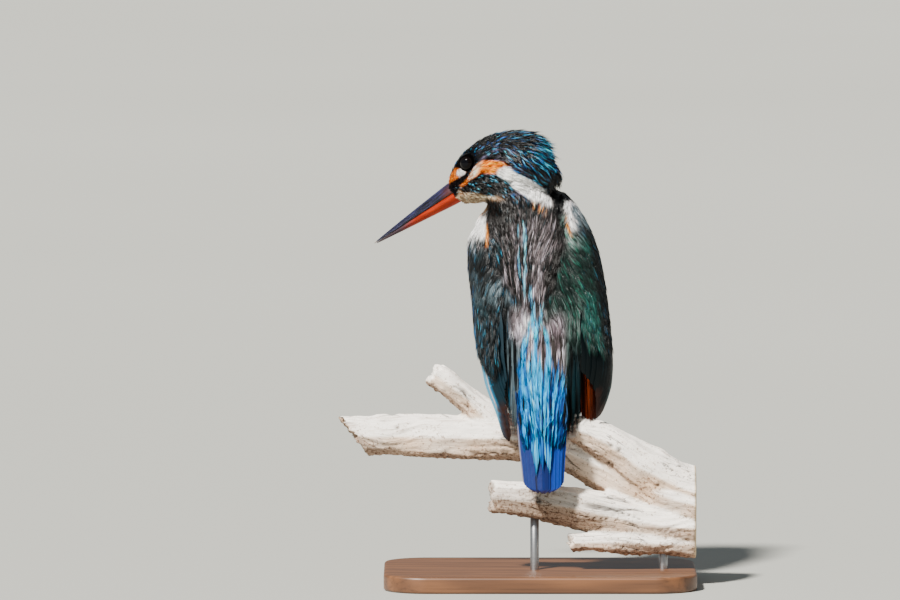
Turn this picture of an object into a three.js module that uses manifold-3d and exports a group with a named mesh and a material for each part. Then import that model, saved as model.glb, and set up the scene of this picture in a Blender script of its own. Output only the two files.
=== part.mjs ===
// A female common kingfisher, life size, on a short cut length of forked driftwood with a display stand.
// Millimetres, +Z up. The origin is the middle of the stand's underside. The bird faces +Y with its
// back towards -Y, and its head is turned over its left shoulder, towards -X.
import * as THREE from "three";
import { mergeVertices } from "three/addons/utils/BufferGeometryUtils.js";
import Module from "manifold-3d";

const wasm = await Module();
wasm.setup();

const GAP = 0.3; // clearance between neighbouring pieces
const DEG = Math.PI / 180;

// ---------------------------------------------------------------- driving dimensions

const BILL_LENGTH = 35.8; // exposed culmen
const BILL_ROOT = 5; // length of horn hidden in the head's feathers
const BILL_DEPTH = 8.0; // both mandibles, at the feathering
const BILL_WIDTH = 7.2;
const HEAD_AT = new THREE.Vector3(-31.6, 19, 141.2); // bill base, on the bill's own axis
const HEAD_TURN = 160 * DEG; // bill heading, anticlockwise from +X
const HEAD_DIP = 31 * DEG; // bill below the horizontal
const EYE_RADIUS = 3.8; // the whole ball, most of it sunk in the head
const EYE_AT = new THREE.Vector3(-13.8, 6.1, 6.6); // left eye in the head's frame, right is mirrored
const TAIL_LENGTH = 39.6;
const TAIL_PAIRS = 6;
const TAIL_LEAN = 14 * DEG;
const TAIL_ROOT = new THREE.Vector3(0.6, -15.4, 73);
const FEATHER_THICK = 0.6;
const NECK_SEAM = 137; // height of the cut between neck and trunk
const LEG_X = [-6.6, 6.6];
const PERCH_CUT_X = 57; // plane of the saw cut
const BASE = { width: 114, depth: 78, thick: 6, corner: 16, bevel: 1 };
const ROD_RADIUS = 1.6;
const ROD_SOCKET = 3; // depth of each rod in the base, and at least this in the wood

// ---------------------------------------------------------------- materials

const paint = (hex, roughness, metalness = 0) =>
  new THREE.MeshStandardMaterial({ color: hex, roughness, metalness });

const PAINTS = {
  crown: paint(0x1d3a4a, 0.5),
  back: paint(0x2f6f86, 0.5),
  covert: paint(0x1f4f55, 0.5),
  quill: paint(0x2a2f33, 0.45),
  azure: paint(0x2aa6e0, 0.45),
  tail: paint(0x2748a8, 0.4),
  belly: paint(0xc9682a, 0.7),
  horn: paint(0x1c1a22, 0.25),
  orangeHorn: paint(0xb9431f, 0.3),
  eye: paint(0x0b0909, 0.05),
  foot: paint(0xc8452c, 0.5),
  wood: paint(0xd9c9b4, 0.9),
  steel: paint(0xb9bcc0, 0.35, 1),
  plinth: paint(0x6d5138, 0.55),
};

// ---------------------------------------------------------------- shape helpers

/** Reads every number of the stations at a place between them, on smooth cubic curves. */
function between(stations, at) {
  const last = stations.length - 1;
  let i = 0;
  while (i < last - 1 && at > stations[i + 1].at) i++;
  const [a, b] = [stations[i], stations[i + 1]];
  const [before, after] = [stations[Math.max(i - 1, 0)], stations[Math.min(i + 2, last)]];
  const span = b.at - a.at;
  const t = THREE.MathUtils.clamp((at - a.at) / span, 0, 1);
  const found = {};
  for (const key of Object.keys(a)) {
    const slopeA = ((b[key] - before[key]) / (b.at - before.at)) * span;
    const slopeB = ((after[key] - a[key]) / (after.at - a.at)) * span;
    found[key] =
      a[key] * (2 * t ** 3 - 3 * t ** 2 + 1) +
      slopeA * (t ** 3 - 2 * t ** 2 + t) +
      b[key] * (3 * t ** 2 - 2 * t ** 3) +
      slopeB * (t ** 3 - t ** 2);
  }
  return found;
}

/** n + 1 even steps from a to b. */
const steps = (a, b, n) => Array.from({ length: n + 1 }, (_, i) => a + ((b - a) * i) / n);

/** A closed surface through rings of points, with a flat fan over each end. */
function loft(rings) {
  const round = rings[0].length;
  const points = rings.flat();
  const middle = (ring) =>
    ring.reduce((sum, p) => sum.add(p), new THREE.Vector3()).divideScalar(ring.length);
  points.push(middle(rings[0]), middle(rings.at(-1)));
  const [first, last] = [points.length - 2, points.length - 1];
  const index = [];
  for (let j = 0; j < round; j++) {
    const k = (j + 1) % round;
    for (let i = 0; i < rings.length - 1; i++) {
      const [a, b] = [i * round + j, i * round + k];
      index.push(a, b, b + round, a, b + round, a + round);
    }
    const end = (rings.length - 1) * round;
    index.push(first, k, j, last, end + j, end + k);
  }
  return new THREE.BufferGeometry().setFromPoints(points).setIndex(index);
}

/** A closed patch between an outer and an inner sheet, both given as rows of points. */
function shell(outer, inner) {
  return loft(outer.map((row, i) => [...row, ...inner[i].slice().reverse()]));
}

/** A tube along a curve whose radius, and flattening, may change on the way. */
function tube(points, radiusAt, count, sides, shape = () => 1) {
  const curve = new THREE.CatmullRomCurve3(points, false, "centripetal");
  const frames = curve.computeFrenetFrames(count, false);
  return loft(
    steps(0, 1, count).map((t, i) => {
      const centre = curve.getPointAt(t);
      return steps(0, 2 * Math.PI, sides)
        .slice(0, sides)
        .map((turn) => {
          const radius = radiusAt(t) * shape(t, turn);
          return centre
            .clone()
            .addScaledVector(frames.normals[i], radius * Math.cos(turn))
            .addScaledVector(frames.binormals[i], radius * Math.sin(turn));
        });
    }),
  );
}

/** The manifold-3d solid of a closed geometry, turned to face outwards. */
function solid(geometry) {
  const bare = geometry.index ? geometry.toNonIndexed() : geometry.clone();
  bare.deleteAttribute("normal");
  bare.deleteAttribute("uv");
  const merged = mergeVertices(bare, 1e-4);
  const make = (triVerts) =>
    new wasm.Manifold(
      new wasm.Mesh({
        numProp: 3,
        vertProperties: merged.attributes.position.array,
        triVerts,
      }),
    );
  const made = make(new Uint32Array(merged.index.array));
  return made.volume() > 0 ? made : make(new Uint32Array(merged.index.array).reverse());
}

const joined = (...pieces) => pieces.reduce((sum, piece) => sum.add(piece));

/** Back from a manifold-3d solid to a three.js geometry. */
function geometryOf(made) {
  const mesh = made.getMesh();
  const geometry = new THREE.BufferGeometry();
  geometry.setAttribute("position", new THREE.BufferAttribute(mesh.vertProperties, 3));
  geometry.setIndex(new THREE.BufferAttribute(mesh.triVerts, 1));
  geometry.computeVertexNormals();
  return geometry;
}

/** The largest body of a cut solid, without the slivers that a cut can leave. */
function main(made) {
  return made.decompose().sort((a, b) => b.volume() - a.volume())[0];
}

const kingfisher = new THREE.Group();

function add(name, made, material, parent = kingfisher) {
  const mesh = new THREE.Mesh(geometryOf(main(made)), material);
  mesh.name = name;
  parent.add(mesh);
  return mesh;
}

/** A box that covers everything above, or below, a height. */
function slab(height, above) {
  const size = 400;
  const box = new THREE.BoxGeometry(size, size, size);
  return solid(box.translate(0, 0, height + ((above ? 1 : -1) * size) / 2));
}

// ---------------------------------------------------------------- trunk and neck

// Level sections of trunk and neck by height: middle, half width, and depth to the breast and the back.
const TRUNK = [
  { at: 63, x: 1.4, y: -13.5, half: 9.5, front: 3.5, back: 3 },
  { at: 67.5, x: 1.4, y: -11, half: 12.2, front: 8.5, back: 5.8 },
  { at: 73, x: 1.4, y: -7.5, half: 14.2, front: 13.5, back: 9 },
  { at: 80, x: 1.4, y: -2.5, half: 16.4, front: 19.5, back: 12.8 },
  { at: 92, x: 1, y: 3, half: 19, front: 25, back: 16 },
  { at: 105, x: 0, y: 7, half: 20.6, front: 27, back: 17.2 },
  { at: 118, x: -2, y: 10, half: 20.6, front: 26, back: 17.4 },
  { at: 128, x: -3.2, y: 12, half: 19, front: 22.5, back: 16.6 },
  { at: 135, x: -4.2, y: 13.4, half: 16.4, front: 18.6, back: 15 },
  { at: 140, x: -5, y: 14, half: 14, front: 15.6, back: 14.1 },
  { at: 145, x: -8.2, y: 14, half: 12.2, front: 13, back: 13.4 },
  { at: 150, x: -11.5, y: 13.8, half: 10.4, front: 10.6, back: 12 },
  { at: 155, x: -14, y: 13.4, half: 7, front: 7, back: 7 },
];
const SECTION_POWER = 0.86; // under 1 squares the sections a little

const squared = (v) => Math.sign(v) * Math.abs(v) ** SECTION_POWER;

/** A point of a level section. The turn is 0 at the back and a quarter at the bird's right. */
function onSection(s, height, turn, grow = 0) {
  const depth = Math.cos(turn) > 0 ? s.back : s.front;
  return new THREE.Vector3(
    s.x + (s.half + grow) * squared(Math.sin(turn)),
    s.y - (depth + grow) * squared(Math.cos(turn)),
    height,
  );
}

function trunkLoft(grow) {
  const round = 22;
  const heights = steps(TRUNK[0].at - grow, TRUNK.at(-1).at, 15);
  return solid(
    loft(
      heights.map((z) => {
        const section = between(TRUNK, z);
        return steps(0, 2 * Math.PI, round)
          .slice(0, round)
          .map((turn) => onSection(section, z, turn, grow));
      }),
    ),
  );
}

// ---------------------------------------------------------------- head, bill and eyes

const headFrame = new THREE.Group();
headFrame.position.copy(HEAD_AT);
headFrame.rotation.set(0, HEAD_DIP, HEAD_TURN, "ZYX");
headFrame.updateMatrixWorld(true);
kingfisher.add(headFrame);
const inWorld = (geometry) => solid(geometry.clone().applyMatrix4(headFrame.matrixWorld));

// Sections of the head by distance back from the bill base: crown, throat and half width.
const HEAD = [
  { at: -1.2, top: 3.6, low: -3.4, half: 3.3 },
  { at: 0.6, top: 5.0, low: -4.3, half: 4.4 },
  { at: 3.5, top: 7.5, low: -5.8, half: 6.3 },
  { at: 7.5, top: 9.9, low: -7.4, half: 8.2 },
  { at: 12.5, top: 11.5, low: -9.2, half: 9.8 },
  { at: 20, top: 12.3, low: -11.6, half: 11.3 },
  { at: 28, top: 10.9, low: -14, half: 11.8 },
  { at: 34, top: 7.8, low: -16, half: 10.8 },
  { at: 38, top: 3.7, low: -16.6, half: 8.4 },
  { at: 41, top: -2.4, low: -13.5, half: 3.6 },
];

function headLoft(grow) {
  const round = 20;
  return loft(
    steps(HEAD[0].at, HEAD.at(-1).at, 13).map((back) => {
      const s = between(HEAD, back);
      const [middle, tall] = [(s.top + s.low) / 2, (s.top - s.low) / 2 + grow];
      return steps(0, 2 * Math.PI, round)
        .slice(0, round)
        .map(
          (turn) =>
            new THREE.Vector3(
              -back + (back > 20 ? -grow : grow),
              (s.half + grow) * Math.sin(turn),
              middle + tall * Math.cos(turn),
            ),
        );
    }),
  );
}

/** One mandible: a keeled half section that runs from the root to the tip. */
function mandible(upper) {
  const side = upper ? 1 : -1;
  const keel = BILL_DEPTH * (upper ? 0.54 : 0.46);
  const reach = upper ? BILL_LENGTH : BILL_LENGTH - 0.9;
  const round = 8;
  return loft(
    steps(-BILL_ROOT, reach, 12).map((along) => {
      const t = THREE.MathUtils.clamp(along / reach, 0, 1);
      const taper = (1 - t) ** (upper ? 0.86 : 0.94);
      const half = (BILL_WIDTH / 2) * taper * 0.97 + 0.22;
      const deep = keel * taper * 0.94 + 0.3;
      const edge = 0.35 * (1 - t) + (side * GAP) / 2;
      return steps(0, Math.PI, round).map(
        (turn) =>
          new THREE.Vector3(
            along,
            half * Math.cos(turn) * (1 - 0.18 * Math.sin(turn) ** 3),
            edge + side * deep * Math.sin(turn) ** 0.9,
          ),
      );
    }),
  );
}

/** The hole in the head for the root of the bill. */
function billSocket() {
  const socket = new THREE.CylinderGeometry(1, 1, BILL_ROOT + GAP + 6, 12);
  socket.rotateZ(Math.PI / 2).scale(1, BILL_DEPTH / 2 + 0.85, BILL_WIDTH / 2 + 0.75);
  return socket.rotateX(Math.PI / 2).translate(3 - (BILL_ROOT + GAP) / 2, 0, 0.5);
}

function addHead() {
  const eye = (side, grow = 0) =>
    new THREE.SphereGeometry(EYE_RADIUS + grow, 14, 8).translate(
      EYE_AT.x,
      EYE_AT.y * side,
      EYE_AT.z,
    );
  const head = solid(headLoft(0))
    .subtract(solid(eye(1, GAP)))
    .subtract(solid(eye(-1, GAP)))
    .subtract(solid(billSocket()));
  add("head", head, PAINTS.crown, headFrame);
  add("bill_upper", solid(mandible(true)), PAINTS.horn, headFrame);
  add("bill_lower", solid(mandible(false)), PAINTS.orangeHorn, headFrame);
  add("eye_left", solid(eye(1)), PAINTS.eye, headFrame);
  add("eye_right", solid(eye(-1)), PAINTS.eye, headFrame);
}

// ---------------------------------------------------------------- wings

// Each wing clings to a widened flank. By height: middle, half width, depth to front and back of the
// flank, how far the coverts swell over it, and the turns, in degrees, of the back and front edges.
const WINGS = {
  right: {
    side: 1,
    ends: 73,
    tip: 60.7,
    flank: [
      { at: 60, x: 0, y: -7.5, half: 21.4, front: 6, back: 6, swell: 1, from: 64, to: 92 },
      { at: 66, x: 0, y: -6, half: 23.8, front: 8, back: 8.5, swell: 1.2, from: 56, to: 96 },
      { at: 72, x: 0, y: -4, half: 24.8, front: 11, back: 10.5, swell: 1.6, from: 48, to: 99 },
      { at: 80, x: 0, y: -1.5, half: 24.6, front: 15, back: 13, swell: 2.4, from: 42, to: 102 },
      { at: 92, x: 0, y: 3, half: 23, front: 22, back: 16, swell: 3.2, from: 40, to: 108 },
      { at: 105, x: 0, y: 7, half: 20.9, front: 26, back: 17.4, swell: 3.6, from: 38, to: 116 },
      { at: 118, x: 0, y: 10, half: 18.9, front: 26, back: 17.5, swell: 3.4, from: 36, to: 122 },
      { at: 128, x: 0, y: 12, half: 16.1, front: 22.5, back: 16.5, swell: 3, from: 38, to: 126 },
      { at: 135, x: 0, y: 13.4, half: 12.8, front: 18, back: 14.4, swell: 2.4, from: 42, to: 128 },
      { at: 140, x: 0, y: 14, half: 9.9, front: 15, back: 12.4, swell: 1.7, from: 50, to: 124 },
      { at: 143, x: 0, y: 14, half: 7.6, front: 12, back: 10.5, swell: 1.4, from: 60, to: 116 },
    ],
  },
  left: {
    side: -1,
    ends: 68,
    tip: 52,
    flank: [
      { at: 51, x: 0, y: -10, half: 13.2, front: 3, back: 3.4, swell: 1, from: 56, to: 100 },
      { at: 58, x: 0, y: -9, half: 14.6, front: 4.5, back: 5.5, swell: 1.1, from: 54, to: 101 },
      { at: 66, x: 0, y: -7, half: 16.4, front: 7, back: 8, swell: 1.4, from: 52, to: 102 },
      { at: 72, x: 0, y: -4.5, half: 18.2, front: 11, back: 10.5, swell: 1.8, from: 46, to: 102 },
      { at: 80, x: 0, y: -1.5, half: 19.6, front: 15, back: 13, swell: 2.5, from: 40, to: 104 },
      { at: 92, x: 0, y: 3, half: 20.8, front: 22, back: 16, swell: 3.3, from: 40, to: 110 },
      { at: 105, x: 0, y: 7, half: 21.5, front: 26, back: 17.4, swell: 3.6, from: 38, to: 116 },
      { at: 118, x: -2, y: 10, half: 21, front: 26, back: 17.5, swell: 3.4, from: 36, to: 122 },
      { at: 128, x: -3, y: 12, half: 19.3, front: 22.5, back: 16.5, swell: 3, from: 38, to: 126 },
      { at: 135, x: -4, y: 13.4, half: 16.4, front: 18, back: 14.4, swell: 2.2, from: 44, to: 128 },
      { at: 139, x: -5, y: 14, half: 13.6, front: 15, back: 12.4, swell: 1.2, from: 54, to: 122 },
    ],
  },
};
const WING_EDGE = 0.8; // thickness of the coverts at the wing's edges
const COVERT_ROUND = 12; // height over which the coverts' lower end rounds off
const WING_INSET = 0.2; // how far the coverts reach in under the flank
const PRIMARIES = 4; // blades that show below the coverts
const BLADE_THICK = 0.8;

/** A patch over a wing's flank: offsets are functions of the place across, from -1 to 1. */
function flankPatch(wing, heights, range, outerAt, innerAt, across = 7) {
  const rows = (offsetAt) =>
    heights.map((z) => {
      const s = between(wing.flank, z);
      const [from, to] = range(s, z);
      return steps(-1, 1, across).map((t) => {
        const turn = (from + ((to - from) * (t + 1)) / 2) * DEG * wing.side;
        return onSection(s, z, turn, offsetAt(t, s));
      });
    });
  return solid(shell(rows(outerAt), rows(innerAt)));
}

function addWing(name, wing, clear) {
  const top = wing.flank.at(-1).at;
  const coverts = flankPatch(
    wing,
    steps(wing.ends, top, 12),
    (s, z) => {
      const near = THREE.MathUtils.clamp((z - wing.ends) / COVERT_ROUND, 0, 1) ** 0.5;
      const middle = s.from + (s.to - s.from) * 0.4;
      const kept = 0.3 + 0.7 * near;
      return [middle - (middle - s.from) * kept, middle + (s.to - middle) * kept];
    },
    (t, s) => WING_EDGE + (s.swell - WING_EDGE) * (1 - t * t) ** 0.6,
    () => -WING_INSET,
  );
  add(`wing_${name}`, coverts.subtract(clear), PAINTS.covert);

  const blades = steps(0, 1, PRIMARIES - 1).map((share, i) => {
    const ends = wing.ends + (wing.tip - wing.ends) * (0.45 + 0.55 * share);
    const sink = -WING_INSET - GAP - 0.05 - 0.35 * i;
    return flankPatch(
      wing,
      steps(ends, 82, 5),
      (s, z) => {
        const near = THREE.MathUtils.clamp((z - ends) / 9, 0, 1) ** 0.5;
        const middle = s.from + (s.to - s.from) * (0.3 + 0.38 * share);
        const half = (s.to - s.from) * 0.29 * (0.2 + 0.8 * near);
        return [middle - half, middle + half];
      },
      () => sink,
      () => sink - BLADE_THICK,
      4,
    );
  });
  add(`primaries_${name}`, joined(...blades).subtract(clear), PAINTS.quill);
}

// ---------------------------------------------------------------- tail

const tailFrame = new THREE.Group();
tailFrame.position.copy(TAIL_ROOT);
tailFrame.rotation.set(-TAIL_LEAN, 0, -0.02);
tailFrame.updateMatrixWorld(true);
kingfisher.add(tailFrame);

/** A flat pad in the tail's frame: half width and thickness by the distance down from the root. */
function tailPad(from, to, halfAt, innerAt, outerAt, count = 8) {
  const round = 14;
  return solid(
    loft(
      steps(from, to, count).map((down) => {
        const [half, inner, outer] = [halfAt(down), innerAt(down), outerAt(down)];
        return steps(0, 2 * Math.PI, round)
          .slice(0, round)
          .map((turn) => {
            const depth = (inner + outer) / 2 + ((outer - inner) / 2) * squared(Math.sin(turn));
            return new THREE.Vector3(half * squared(Math.cos(turn)), -depth, -down);
          });
      }),
    ),
  );
}

/** One tail feather: a flat blade with a rounded end. */
function rectrix(x, length, half, layer) {
  const round = 0.75 * half;
  const outline = new THREE.Shape();
  outline.moveTo(-half * 0.75, 0);
  outline.lineTo(half * 0.75, 0);
  outline.lineTo(half, -length + round);
  outline.absellipse(0, -length + round, half, round, 0, -Math.PI, true);
  outline.closePath();
  const blade = new THREE.ExtrudeGeometry(outline, {
    depth: FEATHER_THICK,
    bevelEnabled: false,
    curveSegments: 3,
  });
  return solid(blade.translate(x, 0, -FEATHER_THICK - layer).rotateX(Math.PI / 2));
}

function addTail(clear) {
  const feathers = [];
  for (let pair = 0; pair < TAIL_PAIRS; pair++) {
    const x = 1.5 + 0.74 * pair;
    const length = TAIL_LENGTH - 0.08 * pair ** 2 - 0.25 * pair;
    for (const side of [-1, 1]) feathers.push(rectrix(side * x, length, 3.4, 0.4 * pair));
  }
  const cut = (pad) => clear.reduce((rest, piece) => rest.subtract(piece), pad);
  add("tail", cut(placed(joined(...feathers))), PAINTS.tail);

  const depth = FEATHER_THICK + 0.4 * (TAIL_PAIRS - 1);
  const upper = tailPad(
    -2,
    29,
    (d) => 9.3 + 3.6 * (1 - THREE.MathUtils.smoothstep(d, 4, 17)) - 4.5 * (Math.max(d, 0) / 29) ** 5,
    () => GAP + 0.02,
    (d) => GAP + 0.7 + 1.5 * Math.sin(Math.PI * Math.min((Math.max(d, 0) / 29) ** 0.7, 1)) ** 0.8,
  );
  const under = tailPad(
    3,
    27,
    (d) => 8.6 - 0.16 * d - 2.8 * (d / 27) ** 4,
    (d) => -depth - GAP - 0.7 - 6.5 * (1 - d / 27) ** 1.1,
    () => -depth - GAP,
  );
  add("tail_coverts_upper", cut(placed(upper)), PAINTS.azure);
  add("tail_coverts_under", cut(placed(under)), PAINTS.belly);
}

const placed = (made) => solid(geometryOf(made).applyMatrix4(tailFrame.matrixWorld));

// ---------------------------------------------------------------- perch

// Each limb of the driftwood: its course, and its radius from its broken end to the saw cut.
const LIMBS = {
  bough: {
    course: [
      [-80, 8, 54.2],
      [-52, 7, 53.8],
      [-28, 6, 53.4],
      [-7, 5, 53],
      [11, 4, 48.5],
      [29, 2, 40],
      [45, 0, 33],
      [64, -1, 28],
    ],
    radii: [6.9, 7.3, 7.9, 8.6, 8.6, 9.6, 11.5, 12.5],
    count: 20,
  },
  spur: {
    course: [
      [12.5, -6, 57.7],
      [22, -4.6, 53.6],
      [36, -4, 43.6],
      [50, -2, 36.7],
      [64, -1, 32],
    ],
    radii: [5.4, 7.6, 8.6, 9.2, 11],
    count: 11,
  },
  prong: {
    course: [
      [-17.5, -9, 32.6],
      [-2, -8.5, 31.2],
      [18, -7, 27.4],
      [38, -4.5, 23],
      [64, -2, 21],
    ],
    radii: [6.2, 7.6, 7.8, 8.2, 9.5],
    count: 12,
  },
  splinter: {
    course: [
      [11, -11, 16.2],
      [26, -10, 16.4],
      [44, -7, 15.6],
      [64, -3, 15],
    ],
    radii: [3.4, 4.1, 4.8, 6],
    count: 7,
  },
  stub: {
    course: [
      [-38.5, 5, 77],
      [-29, 5.5, 69.5],
      [-19, 6, 60],
      [-8, 6, 53],
    ],
    radii: [4.6, 5.2, 6, 6.4],
    count: 7,
  },
};

const radiusOf = (limb) => (t) => {
  const place = t * (limb.radii.length - 1);
  const i = Math.min(Math.floor(place), limb.radii.length - 2);
  return THREE.MathUtils.lerp(limb.radii[i], limb.radii[i + 1], place - i);
};

/** Weathered wood is never quite round: slow lumps round and along the limb. */
const weathered = (t, turn) =>
  1 + 0.05 * Math.sin(2 * turn + 9 * t) + 0.035 * Math.sin(3 * turn - 14 * t + 1);

function limbSolid(limb, grow = 0) {
  const points = limb.course.map(([x, y, z]) => new THREE.Vector3(x, y, z));
  const radius = radiusOf(limb);
  return solid(tube(points, (t) => radius(t) + grow, limb.count, 8, weathered));
}

/** The wood broken away past a plane through a point that faces a direction. */
function brokenOff(x, y, z, lean) {
  const size = 60;
  const box = new THREE.BoxGeometry(size, size, size).translate(-size / 2, 0, 0);
  return solid(box.rotateY(lean).translate(x, y, z));
}

function perchWood(grow = 0) {
  const past = new THREE.BoxGeometry(80, 120, 160).translate(PERCH_CUT_X + 40 + grow, 0, 40);
  return joined(...Object.values(LIMBS).map((limb) => limbSolid(limb, grow)))
    .subtract(brokenOff(-68, 8, 54.2, -0.62))
    .subtract(solid(past));
}

// ---------------------------------------------------------------- legs and feet

/** Middle of the bough and its radius where it passes a given X. */
function boughAt(x) {
  const points = LIMBS.bough.course.map((p) => new THREE.Vector3(...p));
  const curve = new THREE.CatmullRomCurve3(points, false, "centripetal");
  let [low, high] = [0, 1];
  while (high - low > 1e-4) {
    const t = (low + high) / 2;
    if (curve.getPointAt(t).x < x) low = t;
    else high = t;
  }
  return { centre: curve.getPointAt(low), radius: radiusOf(LIMBS.bough)(low) };
}

// Each toe by the turns at which it starts and its claw ends, how far it spreads, and its radius.
const TOES = [
  { start: 1.6, across: -3, end: 0.3, thick: 1.15 }, // inner
  { start: 1.6, across: 0, end: -0.25, thick: 1.35 }, // middle
  { start: 1.6, across: 2.3, end: -0.1, thick: 1.2 }, // outer
  { start: 1.5, across: -0.4, end: 2.75, thick: 1.3 }, // hind
];

/** Tarsus, toes and claws of one foot, closed round the bough. Turns run from +Y over the top. */
function footSolid(x, side) {
  const { centre, radius } = boughAt(x);
  const around = (turn, across, lift) =>
    new THREE.Vector3(
      x + across,
      centre.y + (radius + lift) * Math.cos(turn),
      centre.z + (radius + lift) * Math.sin(turn),
    );
  const pieces = TOES.map((toe) => {
    const reach = toe.end - toe.start;
    const path = steps(0, 1, 6).map((t) => {
      const spread = toe.across * side * Math.min(0.35 + t, 1);
      const lift = toe.thick + 0.55 - 1.2 * Math.max(t - 0.8, 0);
      return around(toe.start + reach * t, spread, lift);
    });
    const taper = (t) => toe.thick * (t < 0.8 ? 1 - 0.2 * t : 0.84 * (1.08 - t) * 3.57);
    return solid(tube(path, taper, 7, 5));
  });
  const ankle = new THREE.Vector3(x - 0.6 * side, centre.y + 0.2, 76.5);
  const sole = around(1.57, 0, 1.7);
  pieces.push(solid(tube([ankle, sole], (t) => 1.5 + 0.5 * t ** 3, 3, 8)));
  return joined(...pieces);
}

// Feathered thighs: short plugs that hang from the belly over each tarsus.
function thighSolid(x) {
  const { centre } = boughAt(x);
  const top = new THREE.Vector3(x * 1.36, centre.y + 1.5, 86);
  const cuff = new THREE.Vector3(x, centre.y + 0.3, 67);
  return solid(tube([top, cuff], (t) => 6 - 3.1 * t ** 1.6, 5, 8));
}

// ---------------------------------------------------------------- stand

function baseSolid() {
  const { width, depth, thick, corner, bevel } = BASE;
  const [w, d] = [width / 2 - bevel, depth / 2 - bevel];
  const r = corner - bevel;
  const outline = new THREE.Shape();
  outline.absarc(w - r, d - r, r, 0, Math.PI / 2);
  outline.absarc(-w + r, d - r, r, Math.PI / 2, Math.PI);
  outline.absarc(-w + r, -d + r, r, Math.PI, 1.5 * Math.PI);
  outline.absarc(w - r, -d + r, r, 1.5 * Math.PI, 2 * Math.PI);
  const plate = new THREE.ExtrudeGeometry(outline, {
    depth: thick - 2 * bevel,
    bevelThickness: bevel,
    bevelSize: bevel,
    bevelSegments: 1,
    curveSegments: 4,
  });
  return solid(plate.translate(0, 0, bevel));
}

const RODS = {
  stand_rod_left: { x: -2, y: -8.4, top: 27 },
  stand_rod_right: { x: 45, y: -5.5, top: 17 },
};

function rodSolid({ x, y, top }, grow = 0) {
  const low = BASE.thick - ROD_SOCKET - grow;
  const high = top + grow;
  const rod = new THREE.CylinderGeometry(ROD_RADIUS + grow, ROD_RADIUS + grow, high - low, 12);
  return solid(rod.rotateX(Math.PI / 2).translate(x, y, (low + high) / 2));
}

// ---------------------------------------------------------------- assembly

const whole = trunkLoft(0);
const wholeGrown = trunkLoft(GAP);
const headGrown = inWorld(headLoft(GAP));
const perchGrown = perchWood(GAP);

addHead();
add(
  "neck",
  whole.subtract(headGrown).subtract(slab(NECK_SEAM, false)),
  PAINTS.back,
);

const thighs = LEG_X.map((x) => thighSolid(x).subtract(wholeGrown));
const feet = LEG_X.map((x, i) => footSolid(x, i ? 1 : -1));
const rods = Object.fromEntries(Object.entries(RODS).map(([n, r]) => [n, rodSolid(r)]));
add("trunk", whole.subtract(headGrown).subtract(slab(NECK_SEAM - GAP, true)), PAINTS.back);
addWing("left", WINGS.left, wholeGrown);
addWing("right", WINGS.right, wholeGrown);
addTail([wholeGrown]);
["left", "right"].forEach((name, i) => {
  const legGrown = footSolid(LEG_X[i], i ? 1 : -1);
  add(`foot_${name}`, feet[i].subtract(perchGrown).subtract(wholeGrown), PAINTS.foot);
  add(`thigh_${name}`, thighs[i].subtract(legGrown), PAINTS.belly);
});

const rodHoles = Object.values(RODS).map((rod) => rodSolid(rod, GAP));
const drilled = (made) => rodHoles.reduce((rest, hole) => rest.subtract(hole), made);
add("perch", drilled(perchWood()), PAINTS.wood);
add("stand_base", drilled(baseSolid()), PAINTS.plinth);
for (const [name, rod] of Object.entries(rods)) add(name, rod, PAINTS.steel);

export default kingfisher;
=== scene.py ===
import math
import bmesh
import bpy
import numpy as np
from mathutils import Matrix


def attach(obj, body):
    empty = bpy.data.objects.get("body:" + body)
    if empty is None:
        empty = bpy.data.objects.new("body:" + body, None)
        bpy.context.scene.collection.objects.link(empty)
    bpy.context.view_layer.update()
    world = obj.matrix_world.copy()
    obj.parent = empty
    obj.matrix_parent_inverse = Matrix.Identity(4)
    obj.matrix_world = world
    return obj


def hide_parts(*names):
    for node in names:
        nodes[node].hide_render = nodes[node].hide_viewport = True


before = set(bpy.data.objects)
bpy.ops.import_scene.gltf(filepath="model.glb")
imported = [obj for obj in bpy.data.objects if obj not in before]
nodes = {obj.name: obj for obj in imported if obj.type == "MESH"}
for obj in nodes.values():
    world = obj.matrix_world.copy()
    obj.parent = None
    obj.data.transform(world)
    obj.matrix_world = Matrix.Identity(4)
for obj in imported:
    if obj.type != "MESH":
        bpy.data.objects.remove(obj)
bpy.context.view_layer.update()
mm = 0.001  # shapes are worked out in millimetres and written to their meshes in metres
xAxis, yAxis, zAxis = np.eye(3)
dice = np.random.default_rng(1758)


def ink(code):  # the linear colour of a hexadecimal screen colour
    c = np.array([int(code[i:i + 2], 16) for i in (0, 2, 4)]) / 255
    return np.where(c <= 0.04045, c / 12.92, ((c + 0.055) / 1.055) ** 2.4)


def smooth(x, low, high):  # 0 below low, 1 above high, an S curve between
    t = np.clip((x - low) / (high - low), 0, 1)
    return t * t * (3 - 2 * t)


def unit(v):  # a vector over its length
    return v / np.maximum(np.linalg.norm(v, axis=-1, keepdims=True), 1e-9)


def blend(a, b, share):  # a where the share is 0, b where it is 1
    share = np.asarray(share)[..., None]
    return a * (1 - share) + b * share


def joined(*parts):  # arrays as the columns of one, each spread to the shape of all
    return np.stack(np.broadcast_arrays(*parts), -1)


# Every column of a table at the places given, on cubic curves through its rows.
def stations(table, at):
    table = np.array(table, float)
    rows = table[:, 0]
    at = np.asarray(at, float)
    i = np.clip(np.searchsorted(rows, at) - 1, 0, len(rows) - 2)
    span = rows[i + 1] - rows[i]
    t = np.clip((at - rows[i]) / span, 0, 1)
    found = []
    for column in table[:, 1:].T:
        slope = np.gradient(column, rows)
        found.append(column[i] * (2 * t ** 3 - 3 * t ** 2 + 1) + slope[i] * span * (t ** 3 - 2 * t ** 2 + t)
                     + column[i + 1] * (3 * t ** 2 - 2 * t ** 3) + slope[i + 1] * span * (t ** 3 - t ** 2))
    return found


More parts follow.
